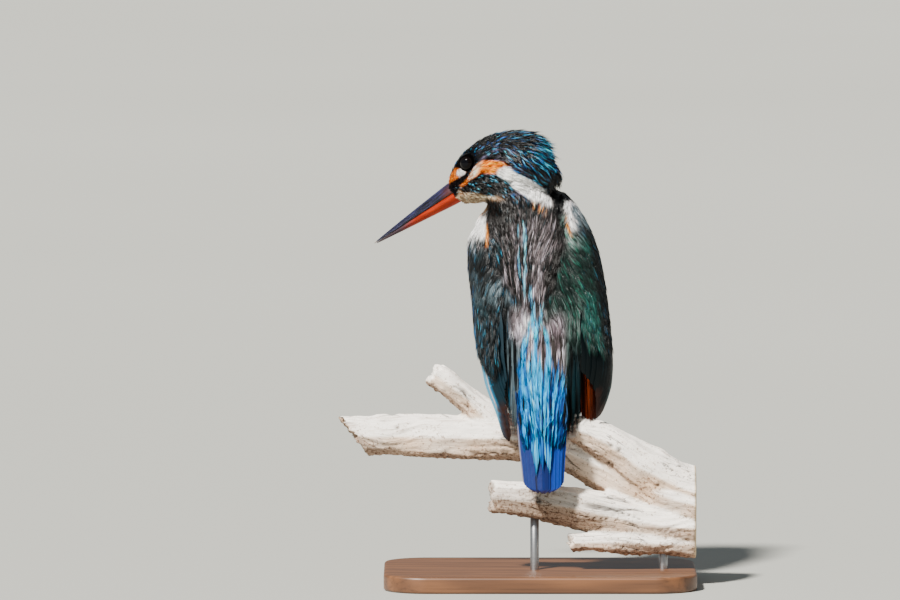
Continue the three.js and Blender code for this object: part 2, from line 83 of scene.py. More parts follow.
# Value noise: random heights on a lattice, joined by S curves, from -1 to 1.
def noise(p, seed=0):
    p = np.asarray(p, float)
    cell = np.floor(p).astype(np.int64)
    f = p - cell
    f = f * f * (3 - 2 * f)
    total = np.zeros(p.shape[:-1])
    for corner in range(8):
        step = np.array([corner & 1, corner >> 1 & 1, corner >> 2 & 1])
        k = (cell + step) % 4096
        h = (k[..., 0] * 73856093 ^ k[..., 1] * 19349663 ^ k[..., 2] * 83492791 ^ (seed * 2654435)) & 0xFFFFFFFF
        h = (h ^ h >> 15) * 2246822519 & 0xFFFFFFFF
        h = (h ^ h >> 13) * 3266489917 & 0xFFFFFFFF
        height = ((h ^ h >> 16) & 0xFFFF) / 32767.5 - 1
        total += height * np.prod(np.where(step, f, 1 - f), axis=-1)
    return total


def rough(p, seed=0, octaves=3):  # noise summed at rising pitch and falling height
    return sum(noise(np.asarray(p) * 2 ** i, seed + i) / 2 ** i for i in range(octaves))


def noiseOf(x, y, z, seed, octaves=1):  # the same by three places apart
    return rough(joined(x, y, z), seed, octaves)


# A piece from points in millimetres and groups of faces, with its attributes and its bake map.
def makePiece(name, points, faces, finish, attributes=None, bake=None):
    mesh = bpy.data.meshes.new(name)
    points = np.asarray(points, float).reshape(-1, 3)
    mesh.vertices.add(len(points))
    mesh.vertices.foreach_set("co", (points * mm).ravel())
    groups = faces if isinstance(faces, list) else [faces]
    corners = np.concatenate([f.ravel() for f in groups])
    counts = np.concatenate([np.full(len(f), f.shape[1]) for f in groups])
    mesh.loops.add(len(corners))
    mesh.loops.foreach_set("vertex_index", corners.astype(np.int32))
    mesh.polygons.add(len(counts))
    starts = np.concatenate([[0], np.cumsum(counts)[:-1]])
    mesh.polygons.foreach_set("loop_start", starts.astype(np.int32))
    mesh.polygons.foreach_set("use_smooth", np.ones(len(counts), bool))
    mesh.update(calc_edges=True)
    for key, values in (attributes or {}).items():
        kind, field = ("FLOAT_COLOR", "color") if values.shape[-1] == 4 else ("FLOAT_VECTOR", "vector")
        made = mesh.attributes.new(key, kind, "POINT")
        made.data.foreach_set(field, values.astype(np.float32).ravel())
    if bake is not None:
        layer = mesh.uv_layers.new(name="OFBake")
        layer.data.foreach_set("uv", bake[corners].astype(np.float32).ravel())
    mesh.materials.append(finish)
    piece = bpy.data.objects.new(name, mesh)
    bpy.context.scene.collection.objects.link(piece)
    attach(piece, "root")
    return piece


# Faces of a tube's grid of rows by columns, its last column joined to its first.
def gridFaces(rows, columns):
    i = np.arange(rows - 1)[:, None] * columns
    j = np.arange(columns)[None, :]
    k = (j + 1) % columns
    return joined(i + j, i + k, i + columns + k, i + columns + j).reshape(-1, 4)


# Faces of many such tubes, one after another, each closed by one face at either end.
def gridCopies(count, rows, columns, flipped=False):
    ends = np.stack([np.arange(columns)[::-1], np.arange(columns) + (rows - 1) * columns])
    shift = (np.arange(count) * rows * columns)[:, None, None]
    return [(part[:, ::-1 if flipped else 1] + shift).reshape(-1, part.shape[1])
            for part in (gridFaces(rows, columns), ends)]


def circle(count):  # turns evenly round a ring
    return np.linspace(0, 2 * np.pi, count, endpoint=False)[None]


# Rings of points: round each place of a course, an ellipse across two directions.
def ringsRound(course, side, lift, wide, high, turn):
    return course + side * (wide * np.cos(turn))[..., None] + lift * (high * np.sin(turn))[..., None]


def opaque(colour):  # a colour with its alpha, as colour attributes hold it
    return np.concatenate([colour, np.ones(colour.shape[:-1] + (1,))], -1)


# A tube through rings of points, closed at both ends by fans to the middle of each end ring.
def tubeMesh(rings):
    rows, columns = rings.shape[:2]
    ends = np.stack([rings[0].mean(0), rings[-1].mean(0)])
    points = np.concatenate([rings.reshape(-1, 3), ends])
    j = np.arange(columns)
    k = (j + 1) % columns
    last = (rows - 1) * columns
    first = joined(rows * columns, k, j)
    final = joined(rows * columns + 1, last + j, last + k)
    return points, [gridFaces(rows, columns), np.concatenate([first, final])]


def joinMeshes(parts):  # several (points, faces) made one
    points, faces, shift = [], [], 0
    for p, f in parts:
        points.append(p)
        faces += [g + shift for g in (f if isinstance(f, list) else [f])]
        shift += len(p)
    return np.concatenate(points), faces


def recalculated(piece):  # faces turned outwards
    b = bmesh.new()
    b.from_mesh(piece.data)
    bmesh.ops.recalc_face_normals(b, faces=b.faces)
    b.to_mesh(piece.data)
    b.free()
    return piece


def square(v, to):  # the part of each vector that is at right angles to another
    return unit(v - (v * to).sum(-1, keepdims=True) * to)


def nodeMesh(name):  # points in millimetres and triangles of a frame node, its doubles merged
    mesh = nodes[name].data
    points = np.empty(len(mesh.vertices) * 3)
    mesh.vertices.foreach_get("co", points)
    mesh.calc_loop_triangles()
    triangles = np.empty(len(mesh.loop_triangles) * 3, np.int32)
    mesh.loop_triangles.foreach_get("vertices", triangles)
    points = points.reshape(-1, 3) / mm
    _, first, same = np.unique(np.round(points, 3), axis=0, return_index=True, return_inverse=True)
    triangles = same.ravel()[triangles].reshape(-1, 3)
    whole = (triangles != np.roll(triangles, 1, 1)).all(1)
    return points[first], triangles[whole]


def scratch(name, points, triangles=None):  # a helper object that is removed before the end
    mesh = bpy.data.meshes.new(name)
    mesh.from_pydata((points * mm).tolist(), [], [] if triangles is None else triangles.tolist())
    helper = bpy.data.objects.new(name, mesh)
    bpy.context.scene.collection.objects.link(helper)
    return helper


def discard(helper):  # a helper and its mesh removed
    mesh = helper.data
    bpy.data.objects.remove(helper)
    bpy.data.meshes.remove(mesh)


def evaluated(helper):  # points, polygons as quads or triangles, and normals with modifiers applied
    bpy.context.view_layer.update()
    whole = helper.evaluated_get(bpy.context.evaluated_depsgraph_get())
    mesh = whole.to_mesh()
    points = np.empty(len(mesh.vertices) * 3)
    mesh.vertices.foreach_get("co", points)
    normals = np.empty(len(mesh.vertices) * 3)
    if len(mesh.polygons):
        mesh.vertex_normals.foreach_get("vector", normals)
    corners = np.empty(len(mesh.loops), np.int32)
    mesh.loops.foreach_get("vertex_index", corners)
    sides = len(corners) // max(len(mesh.polygons), 1)
    whole.to_mesh_clear()
    return points.reshape(-1, 3) / mm, corners.reshape(-1, max(sides, 1)), normals.reshape(-1, 3)


# One closed surface over several nodes: swollen to bridge their gaps, remeshed, then smoothed.
def moulded(names, swell, voxel, rounds):
    points, faces = joinMeshes([nodeMesh(n) for n in names])
    helper = scratch("moulding", points, np.concatenate(faces))
    grow = helper.modifiers.new("grow", "DISPLACE")
    grow.strength, grow.mid_level = swell * mm, 0
    remesh = helper.modifiers.new("remesh", "REMESH")
    remesh.mode, remesh.voxel_size = "VOXEL", voxel * mm
    relax = helper.modifiers.new("relax", "SMOOTH")
    relax.factor, relax.iterations = 0.5, rounds
    made = evaluated(helper)
    discard(helper)
    return made


# Nearest points of a surface, and its normals there, for a whole array of points at once.
class Surface:
    def __init__(self, points, faces):
        self.target = scratch("target", points, faces)
        self.target.data.polygons.foreach_set("use_smooth", np.ones(len(faces), bool))

    def near(self, points, lift=0.0):  # the points brought to the surface, or to a lift above it
        shape = np.asarray(points).shape
        helper = scratch("feeler", np.asarray(points).reshape(-1, 3))
        wrap = helper.modifiers.new("wrap", "SHRINKWRAP")
        wrap.target, wrap.wrap_method = self.target, "NEAREST_SURFACEPOINT"
        wrap.wrap_mode, wrap.offset = "ABOVE_SURFACE", lift * mm
        found = evaluated(helper)[0]
        discard(helper)
        return found.reshape(shape)

    def touch(self, points):  # the nearest points and the normals there
        on = self.near(points)
        return on, unit(self.near(on, 0.4) - on)

    def gap(self, points):  # distances from the surface
        return np.linalg.norm(self.near(points) - points, axis=-1)

    def drop(self):
        discard(self.target)


class Wire:  # a shader socket that can be used in sums
    def __init__(self, finish, socket):
        self.finish, self.socket = finish, socket

    def sum(self, operation, *values):  # one Math node over the values
        return self.finish.node("ShaderNodeMath", {"operation": operation}, dict(enumerate(values)))

    def __add__(self, other): return self.sum("ADD", self, other)
    def __radd__(self, other): return self.sum("ADD", other, self)
    def __sub__(self, other): return self.sum("SUBTRACT", self, other)
    def __rsub__(self, other): return self.sum("SUBTRACT", other, self)
    def __mul__(self, other): return self.sum("MULTIPLY", self, other)
    def __rmul__(self, other): return self.sum("MULTIPLY", other, self)

    def absolute(self): return self.sum("ABSOLUTE", self)
    def sine(self): return self.sum("SINE", self)

    def ramp(self, low, high):  # 0 to 1 between two values
        return self.finish.node("ShaderNodeMapRange", {"interpolation_type": "SMOOTHSTEP"},
                                {0: self, 1: low, 2: high, 3: 0.0, 4: 1.0})


class Finish:  # one material, with a Principled shader and its numbers
    def __init__(self, name, **fixed):
        self.material = bpy.data.materials.new(name)
        self.material.use_nodes = True
        self.tree = self.material.node_tree
        self.tree.nodes.clear()
        self.shader = self.tree.nodes.new("ShaderNodeBsdfPrincipled")
        out = self.tree.nodes.new("ShaderNodeOutputMaterial")
        self.tree.links.new(self.shader.outputs[0], out.inputs[0])
        self.put(**fixed)

    def feed(self, socket, value):  # a link, a colour or a number into a socket
        if isinstance(value, Wire):
            self.tree.links.new(value.socket, socket)
        elif hasattr(value, "__len__") and len(value) == 3 and socket.type == "RGBA":
            socket.default_value = (*value, 1)
        else:
            socket.default_value = value

    def put(self, **values):  # values of the shader's own sockets
        for key, value in values.items():
            self.feed(self.shader.inputs[key.replace("_", " ")], value)

    def node(self, kind, settings=None, sockets=None, out=0):  # settings first, then sockets
        made = self.tree.nodes.new(kind)
        for key, value in (settings or {}).items():
            setattr(made, key, value)
        for key, value in (sockets or {}).items():
            self.feed(made.inputs[key], value)
        return Wire(self, made.outputs[out])

    def place(self):  # object coordinates
        return self.node("ShaderNodeTexCoord", out="Object")

    def read(self, name, out="Vector"):  # an attribute of the mesh
        return self.node("ShaderNodeAttribute", {"attribute_name": name}, out=out)

    def parts(self, vector):  # its three numbers apart
        made = self.node("ShaderNodeSeparateXYZ", {}, {0: vector})
        return [Wire(self, made.socket.node.outputs[i]) for i in range(3)]

    def join(self, x, y, z):  # three numbers made a vector
        return self.node("ShaderNodeCombineXYZ", {}, {0: x, 1: y, 2: z})

    def tint(self, base, colour):  # the base times a colour
        return self.mix(1.0, base, colour, "MULTIPLY")

    def mix(self, share, a, b, how="MIX"):  # a to b by share
        return self.node("ShaderNodeMix", {"data_type": "RGBA", "blend_type": how, "clamp_factor": True},
                         {0: share, 6: a, 7: b}, out=2)

    def stretch(self, vector, scale):  # a vector times a scale on each axis
        return self.node("ShaderNodeVectorMath", {"operation": "MULTIPLY"}, {0: vector, 1: scale})

    def grain(self, vector, scale, detail=4.0, roughness=0.55):  # noise from 0 to 1
        return self.node("ShaderNodeTexNoise", {},
                         {"Vector": vector, "Scale": scale, "Detail": detail, "Roughness": roughness})

    def bump(self, height, distance, strength=1.0):  # a normal from a height
        return self.node("ShaderNodeBump", {}, {"Height": height, "Distance": distance * mm, "Strength": strength})


print("helpers ready")


studio = {
    "aim": (-32.85, 0, 104.0),  # what the camera looks at
    "distance": 3650, "elevation": 4, "lens": 400, "sensor": 36,
    "sunTurn": 34, "sunHeight": 46, "sunPower": 11.5, "sunSize": 6, "sunColour": (1.0, 0.96, 0.9),
    "sky": (0.60, 0.66, 0.70), "skyPower": 0.42,
    "floor": "a4a59f", "floorSize": 40000,
}


# The camera stands its distance off, raised by its elevation; a soft sun, a pale sky and a plain floor.
def addStudio():
    s = studio
    tilt = math.radians(s["elevation"])
    eye = np.array(s["aim"]) + s["distance"] * np.array([0, -math.cos(tilt), math.sin(tilt)])
    camera = bpy.data.objects.new("camera", bpy.data.cameras.new("camera"))
    camera.data.lens, camera.data.sensor_width = s["lens"], s["sensor"]
    camera.data.clip_end = 100
    camera.location = eye * mm
    camera.rotation_euler = (math.radians(90 - s["elevation"]), 0, 0)
    bpy.context.scene.collection.objects.link(camera)
    bpy.context.scene.camera = camera

    sun = bpy.data.objects.new("sun", bpy.data.lights.new("sun", "SUN"))
    sun.data.energy, sun.data.angle = s["sunPower"], math.radians(s["sunSize"])
    sun.data.color = s["sunColour"]
    sun.rotation_euler = (math.radians(90 - s["sunHeight"]), 0, math.radians(-s["sunTurn"]))
    bpy.context.scene.collection.objects.link(sun)

    world = bpy.data.worlds.new("sky")
    world.use_nodes = True
    backdrop = world.node_tree.nodes["Background"]
    backdrop.inputs[0].default_value = (*s["sky"], 1)
    backdrop.inputs[1].default_value = s["skyPower"]
    bpy.context.scene.world = world

    finish = Finish("studioFloor", Roughness=0.95)
    patch = finish.grain(finish.place(), 0.6, 2.0)
    finish.put(Base_Color=finish.mix(patch, ink(s["floor"]) * 0.9, ink(s["floor"]) * 1.1))
    points = s["floorSize"] * np.array([[-1, -1, 0], [1, -1, 0], [1, 1, 0], [-1, 1, 0]], float)
    mesh = bpy.data.meshes.new("floor")
    mesh.from_pydata((points * mm).tolist(), [], [(0, 1, 2, 3)])
    mesh.materials.append(finish.material)
    floor = bpy.data.objects.new("floor", mesh)
    bpy.context.scene.collection.objects.link(floor)


addStudio()
print("studio ready")


headPlace = {"at": (-31.6, 19, 141.2), "turn": 160, "dip": 31}  # bill base, and the bill's heading
headAt = np.array(headPlace["at"], float)
turn, dip = math.radians(headPlace["turn"]), math.radians(headPlace["dip"])
headForward = np.array([math.cos(turn) * math.cos(dip), math.sin(turn) * math.cos(dip), -math.sin(dip)])
headUp = np.array([math.cos(turn) * math.sin(dip), math.sin(turn) * math.sin(dip), math.cos(dip)])
headLeft = np.cross(headUp, headForward)


def inHead(p):  # distance back from the bill base, to the left, and up, in the head's own frame
    q = p - headAt
    return -(q @ headForward), q @ headLeft, q @ headUp


def fromHead(back, left, up):  # the point with those distances in the head's frame
    back, left, up = np.broadcast_arrays(back, left, up)
    return headAt - back[..., None] * headForward + left[..., None] * headLeft + up[..., None] * headUp


eyes = {"back": 13.4, "out": 5.7, "up": 6.3, "radius": 3.8, "opening": 2.5}
bodyLine = [[44, 1.4, -20], [63, 1.4, -13], [80, 1.4, -2.5], [105, 0, 7], [128, -3.2, 12], [145, -8.2, 14],
            [156, -14, 13.4]]
spineLine = [[60, 0.8], [70, 0.4], [85, -1.5], [98, -3.0], [106, -4.4], [116, -6.5], [128, -6.7], [140, -5.5]]
mantleEdge = [[60, -6, -6], [92, -4, -4], [97, 0, 2], [108, 6, 9.5], [122, 11, 14.8], [132, 13, 16.5], [142, 14, 18]]


def headness(p):  # 1 on the head, 0 on the body
    return smooth(p[..., 2] - 141 - 0.38 * (p[..., 0] + 8), -4, 5)


def backPlace(p):  # distance right of the spine, depth behind the body's line, and past the mantle's edge
    cy = stations(bodyLine, p[..., 2])[1]
    spine, = stations(spineLine, p[..., 2])
    leftEdge, rightEdge = stations(mantleEdge, p[..., 2])
    across = p[..., 0] - spine
    return across, cy - p[..., 1], np.where(across > 0, across - rightEdge, -across - leftEdge)


# Which way the plumage lies: back and down over the head, in to the spine on the mantle, out over
# the shoulders, and down and inwards over the rump.
def lieAt(p):
    back, _, up = inHead(p)
    turned = 50 - 14 * np.exp(-((up - 1.5) / 3.5) ** 2)
    fall = smooth(back - 0.5 * up, 14, turned) + 0.5 * smooth(-up, -1.5, 3.5) * (1 - smooth(back, 20, 28))
    fall = np.clip(fall * (1 - 0.3 * smooth(back, 33, 38) * smooth(up, -14, -9)), 0, 1)
    onHead = -blend(headForward, headUp, fall)
    z = p[..., 2]
    across, behind, past = backPlace(p)
    onBack = smooth(behind, -5, 4)
    inwards = -np.clip(0.032 * across, -0.35, 0.35) * smooth(z, 94, 106)
    outwards = np.where(across > 0, 0.72, -0.42) * smooth(z, 90, 114) * (1 - smooth(z, 130, 140))
    sway = inwards + (outwards - inwards) * smooth(past, -1.5, 3)
    gather = -0.022 * across * (1 - smooth(z, 66, 92))
    wave = (0.20 * noise(p / (5.5, 9, 7.5), 12) + 0.16 * noise(p / (2.6, 5, 4.5), 13)) * (0.2 + 0.6 * smooth(z, 78, 95))
    onBody = joined(onBack * sway + gather + wave, -0.30, -0.95)
    return unit(blend(onBody, onHead, headness(p)))


# The lock of plumage that a spot belongs to: where its streak starts across the back at a height, found
# by following the lie of the feathers there in a few steps at the same depth behind the body's line.
def lockAt(p, steps=7, height=140):
    behind = backPlace(p)[1]
    q = p.copy()
    climb = (height - p[..., 2]) / steps
    for _ in range(steps):
        way = lieAt(q)
        q = q + way * (climb / np.minimum(way[..., 2], -0.3))[..., None]
        q[..., 1] = stations(bodyLine, q[..., 2])[1] - behind
    return q[..., 0]


def band(x, low, high, soft=1.0):  # 1 between two values, falling softly to 0 beyond them
    return smooth(x, low - soft, low + soft) * (1 - smooth(x, high - soft, high + soft))


def inside(a, b, outline, soft=0.6):  # 1 inside an outline on a chart, falling softly to 0 outside
    corners = np.array(outline, float)
    away = np.full(a.shape, 1e9)
    odd = np.zeros(a.shape, bool)
    for (x0, y0), (x1, y1) in zip(corners, np.roll(corners, -1, 0)):
        dx, dy = x1 - x0, y1 - y0
        t = np.clip(((a - x0) * dx + (b - y0) * dy) / (dx * dx + dy * dy), 0, 1)
        away = np.minimum(away, np.hypot(a - x0 - t * dx, b - y0 - t * dy))
        odd ^= ((y0 > b) != (y1 > b)) & (a < (b - y0) * dx / (dy if dy else 1e-9) + x0)
    return smooth(np.where(odd, away, -away), -soft, soft)


def strokes(a, b, lines):  # 1 on the strokes of a chart, each as wide as given in its middle and pointed at both ends
    found = np.zeros(a.shape)
    for x0, y0, x1, y1, width in lines:
        dx, dy = x1 - x0, y1 - y0
        t = ((a - x0) * dx + (b - y0) * dy) / (dx * dx + dy * dy)
        wide = width * np.sin(np.pi * np.clip(t, 0.02, 0.98)) ** 0.6
        t = np.clip(t, 0, 1)
        found = np.maximum(found, 1 - smooth(np.hypot(a - x0 - t * dx, b - y0 - t * dy), 0.5 * wide, wide))
    return found


# The head's patches on a chart of distance back from the bill and height, alike on both sides.
headPatches = {
    "ear": [(10.8, 0.5), (11.4, 1.3), (14.3, 2.9), (17.6, 3.9), (19.8, 3.9), (23.4, 2.0), (27.1, -0.7), (27.9, -2.9),
            (24.9, -2.5), (22.2, -3.2), (19.8, -1.6), (17.2, -0.1), (14.0, 0.1)],
    "gape": [(6.2, -0.3), (6.4, 0.9), (9.2, 1.5), (11.8, 1.6), (11.4, 0.3), (9.3, -0.3)],
    "white": [(24.4, -2.2), (27.5, -2.8), (28.8, -6.0), (30.2, -8.5), (32.2, -11.8), (32.6, -14.8), (33.5, -17.8),
              (31.6, -16.0), (32.6, -18.5), (33.0, -21.5), (32.6, -23.4), (30.5, -21.2), (28.5, -18.6),
              (26.8, -14.8), (24.7, -11.1), (24.3, -8.1), (22.6, -4.7), (22.2, -2.9)],
    "malar": [(5.6, 0.1), (9.3, -0.1), (14.0, 0.0), (17.2, -0.3), (19.8, -1.8), (22.4, -4.4), (24.2, -8.2),
              (24.4, -11.6), (19.3, -11.4), (13.6, -7.9), (11.4, -5.2), (6.0, -2.0)],
    "lore": [(-2, 2.2), (2.4, 3.3), (7.5, 3.3), (11.5, 3.6), (11.3, 6.2), (9.2, 7.2), (6.6, 7.6), (3.4, 6.4), (-2, 5)],
    "spot": [(8.1, 3.7), (10.8, 3.2), (11.8, 4.6), (10.6, 6.0), (8.0, 6.1), (7.2, 5.0)],
    "strap": [(-2, 1.0), (3, 1.2), (9, 0.9), (12.6, 2.4), (13.2, 4.2), (11.2, 3.6), (8.4, 3.1), (3, 3.9), (-2, 3.6)],
    "mask": [(8.4, 6.9), (10.8, 5.2), (13.0, 3.2), (16.4, 4.2), (17.8, 7.4), (15.2, 10.4), (10.6, 10.2), (7.4, 8.4)],
}
# Azure strands of the mantle, back and rump: from and to, by distance across and height, and half width.
azureStrands = [
    (-6.0, 133, -5.6, 122, 0.65), (-8.3, 132, -8.0, 127, 0.4), (-7.8, 122, -7.3, 111.5, 0.6),
    (-4.9, 124, -5.9, 118.5, 0.4), (-4.9, 117.5, -5.8, 112.5, 0.4), (-5.8, 113, -5.5, 104.5, 0.5),
    (-3.9, 109.5, -3.1, 102, 0.6), (-2.9, 103, -2.7, 93, 0.8), (1.0, 102, -1.0, 95, 0.6),
    (-3.8, 97, -5.9, 82, 1.0), (-1.6, 97, -1.7, 84, 1.1), (1.3, 95, 3.9, 82.5, 1.0),
    (-5.8, 92, -6.2, 72, 1.2), (-1.9, 89, -2.0, 70, 1.3), (3.0, 86, 5.8, 68, 1.3),
    (-4.0, 84, -4.6, 68, 1.0), (-9.4, 86, -9.2, 74, 0.4), (7.6, 80, 8.6, 68, 0.6),
    (0.4, 80, 0.8, 70, 0.6), (-5.6, 76, -4.6, 62, 0.9), (-1.0, 74, -2.0, 60, 0.7),
    (1.4, 70, 2.6, 58, 0.8), (-3.2, 66, -2.0, 55, 0.8), (4.6, 70, 4.2, 60, 0.7)]
# Dark gaps between them on the rump: painted shade between the locks.
rumpGaps = [
    (-0.5, 72, -0.2, 62, 0.45), (-6.4, 71, -6.0, 64.5, 0.5), (-3.0, 70, -2.7, 63, 0.35), (3.7, 69, 4.2, 62, 0.4),
    (-7.9, 66, -6.8, 59, 0.7), (1.0, 65, 1.3, 60, 0.3), (6.2, 66, 6.4, 58, 0.5), (-4.4, 60, -4.0, 56, 0.4),
    (8.6, 70, 8.8, 58, 0.9), (-8.9, 74, -8.4, 66, 0.4), (2.9, 82, 3.3, 74, 0.3), (-3.4, 86, -3.6, 77, 0.3)]


partNames = ["head", "neck", "trunk", "wing_left", "wing_right", "thigh_left", "thigh_right",
             "tail_coverts_upper", "tail_coverts_under"]
skinPlan = {"swell": 0.22, "voxel": 0.62, "rounds": 6, "depth": 1.15, "lessOnHead": 0.35, "lessOnFace": 0.42,
            "wings": 0.5, "tail": 0.45, "behindEyes": 1.3}


# The skin is moulded over the flesh, then sunk by the depth of the coat, least on the face, wings and
# tail. It is pushed in behind the eyes, and at places where the plumage alone makes the outline.
def loadSkin():
    plan = skinPlan
    flesh = [*partNames, "eye_left", "eye_right"]
    points, faces, normals = moulded(flesh, plan["swell"], plan["voxel"], plan["rounds"])
    back, left, up = inHead(points)
    wingSkins = [Surface(*nodeMesh("wing_left")), Surface(*nodeMesh("wing_right"))]
    wings = np.minimum(wingSkins[0].gap(points), wingSkins[1].gap(points))
    for wing in wingSkins:
        wing.drop()
    face = headness(points) * (1 - smooth(back, 12, 26))
    depth = plan["depth"] - plan["lessOnHead"] * headness(points) - plan["lessOnFace"] * face
    depth = depth + (plan["wings"] - depth) * (1 - smooth(wings, 0.3, 1.6))
    depth = depth + (plan["tail"] - depth) * (1 - smooth(points[:, 2], 60, 70))
    points = points - normals * (depth + plan["swell"])[:, None]
    back, left, up = inHead(points)
    behindEye = smooth(np.abs(left), 4, 6) * (1 - smooth(np.hypot(back - eyes["back"], up - eyes["up"]), 2.4, 3.9))
    points -= (plan["behindEyes"] * behindEye * np.sign(left))[:, None] * headLeft
    x, z = points[:, 0], points[:, 2]
    nape = smooth(x, -1, 5) * band(z, 151, 166, 3) * headness(points)
    x += 1.5 * smooth(-x, 15, 21) * band(z, 128, 141, 3) - 1.7 * nape
    corner = smooth(np.abs(x - 1.2), 7, 11.5) * band(z, 52, 77, 3) * smooth(-points[:, 1], 9, 12)
    points[:, 1] += 4.5 * corner
    x -= 1.8 * corner * np.sign(x)
    # over the tail's root the skin stays at least this near to the blades
    lower = (1 - smooth(points[:, 2], 46, 60)) * (np.abs(points[:, 0]) < 12)
    top = -15.4 - 0.2493 * (73 - points[:, 2]) + 1.6
    points[:, 1] = np.where(points[:, 1] < top, points[:, 1] + (top - points[:, 1]) * lower, points[:, 1])
    return points, faces, wings


skinPoints, skinFaces, skinWings = loadSkin()
skinSurface = Surface(skinPoints, skinFaces)
print("skin moulded:", len(skinPoints), "points")


palette = {name: ink(code) for name, code in {
    "black": "020304", "ink": "050608", "crownMid": "081119", "crownBlue": "0f5aa8", "crownCyan": "40bce8",
    # lilac, rose, pearl, pinkGrey and sage are worn as painted sheen, and nightGreen as painted shade on the bird's
    # right side
    "lilac": "6c6784", "rust": "8f3606", "orange": "ee7a10", "gold": "ffab3c", "cream": "ffe9c6", "buff": "e9d2b0",
    "white": "fffefc", "shell": "e6dcde", "umber": "141110", "taupe": "3a3432", "rose": "7c6d75", "pearl": "d9cfdc",
    "pinkGrey": "73686b", "azure": "0270c4", "ice": "16bcf6", "frost": "92e0f6", "cobalt": "062a70",
    "pine": "0d221e", "emerald": "226252", "sage": "586965", "fawn": "b8906c", "teal": "0a2b32",
    "tealGreen": "16554d", "tealBlue": "155674", "slate": "090e11", "steelGrey": "56666d", "nightGreen": "020606",
    "belly": "b9581a", "bellyPale": "ea8a38", "brown": "3a2018", "copper": "ad5016",
    # tailEdge is painted shade where the tail feathers overlap
    "tailBase": "031b5e", "tailVane": "05297a", "tailGlow": "0c469c", "tailEdge": "02040a", "tailShaft": "060a1c",
    "tailEnd": "3a2a24", "tailPale": "8e8a92", "tailUnder": "1a1c22",
    # the right-hand flight colours are a darker copy of the left-hand ones: painted shade of the bird's shaded right
    # side
    "rightVane": "040b0d", "rightGloss": "0a3036", "rightRim": "1c5d68", "leftVane": "0a2029", "leftGloss": "146f96",
    "leftRim": "5ab4d8", "flightPale": "cdb9ae", "flightEnd": "2b1712", "flightUnder": "1c1a19",
}.items()}


def tone(name):  # a colour of the palette
    return palette[name]
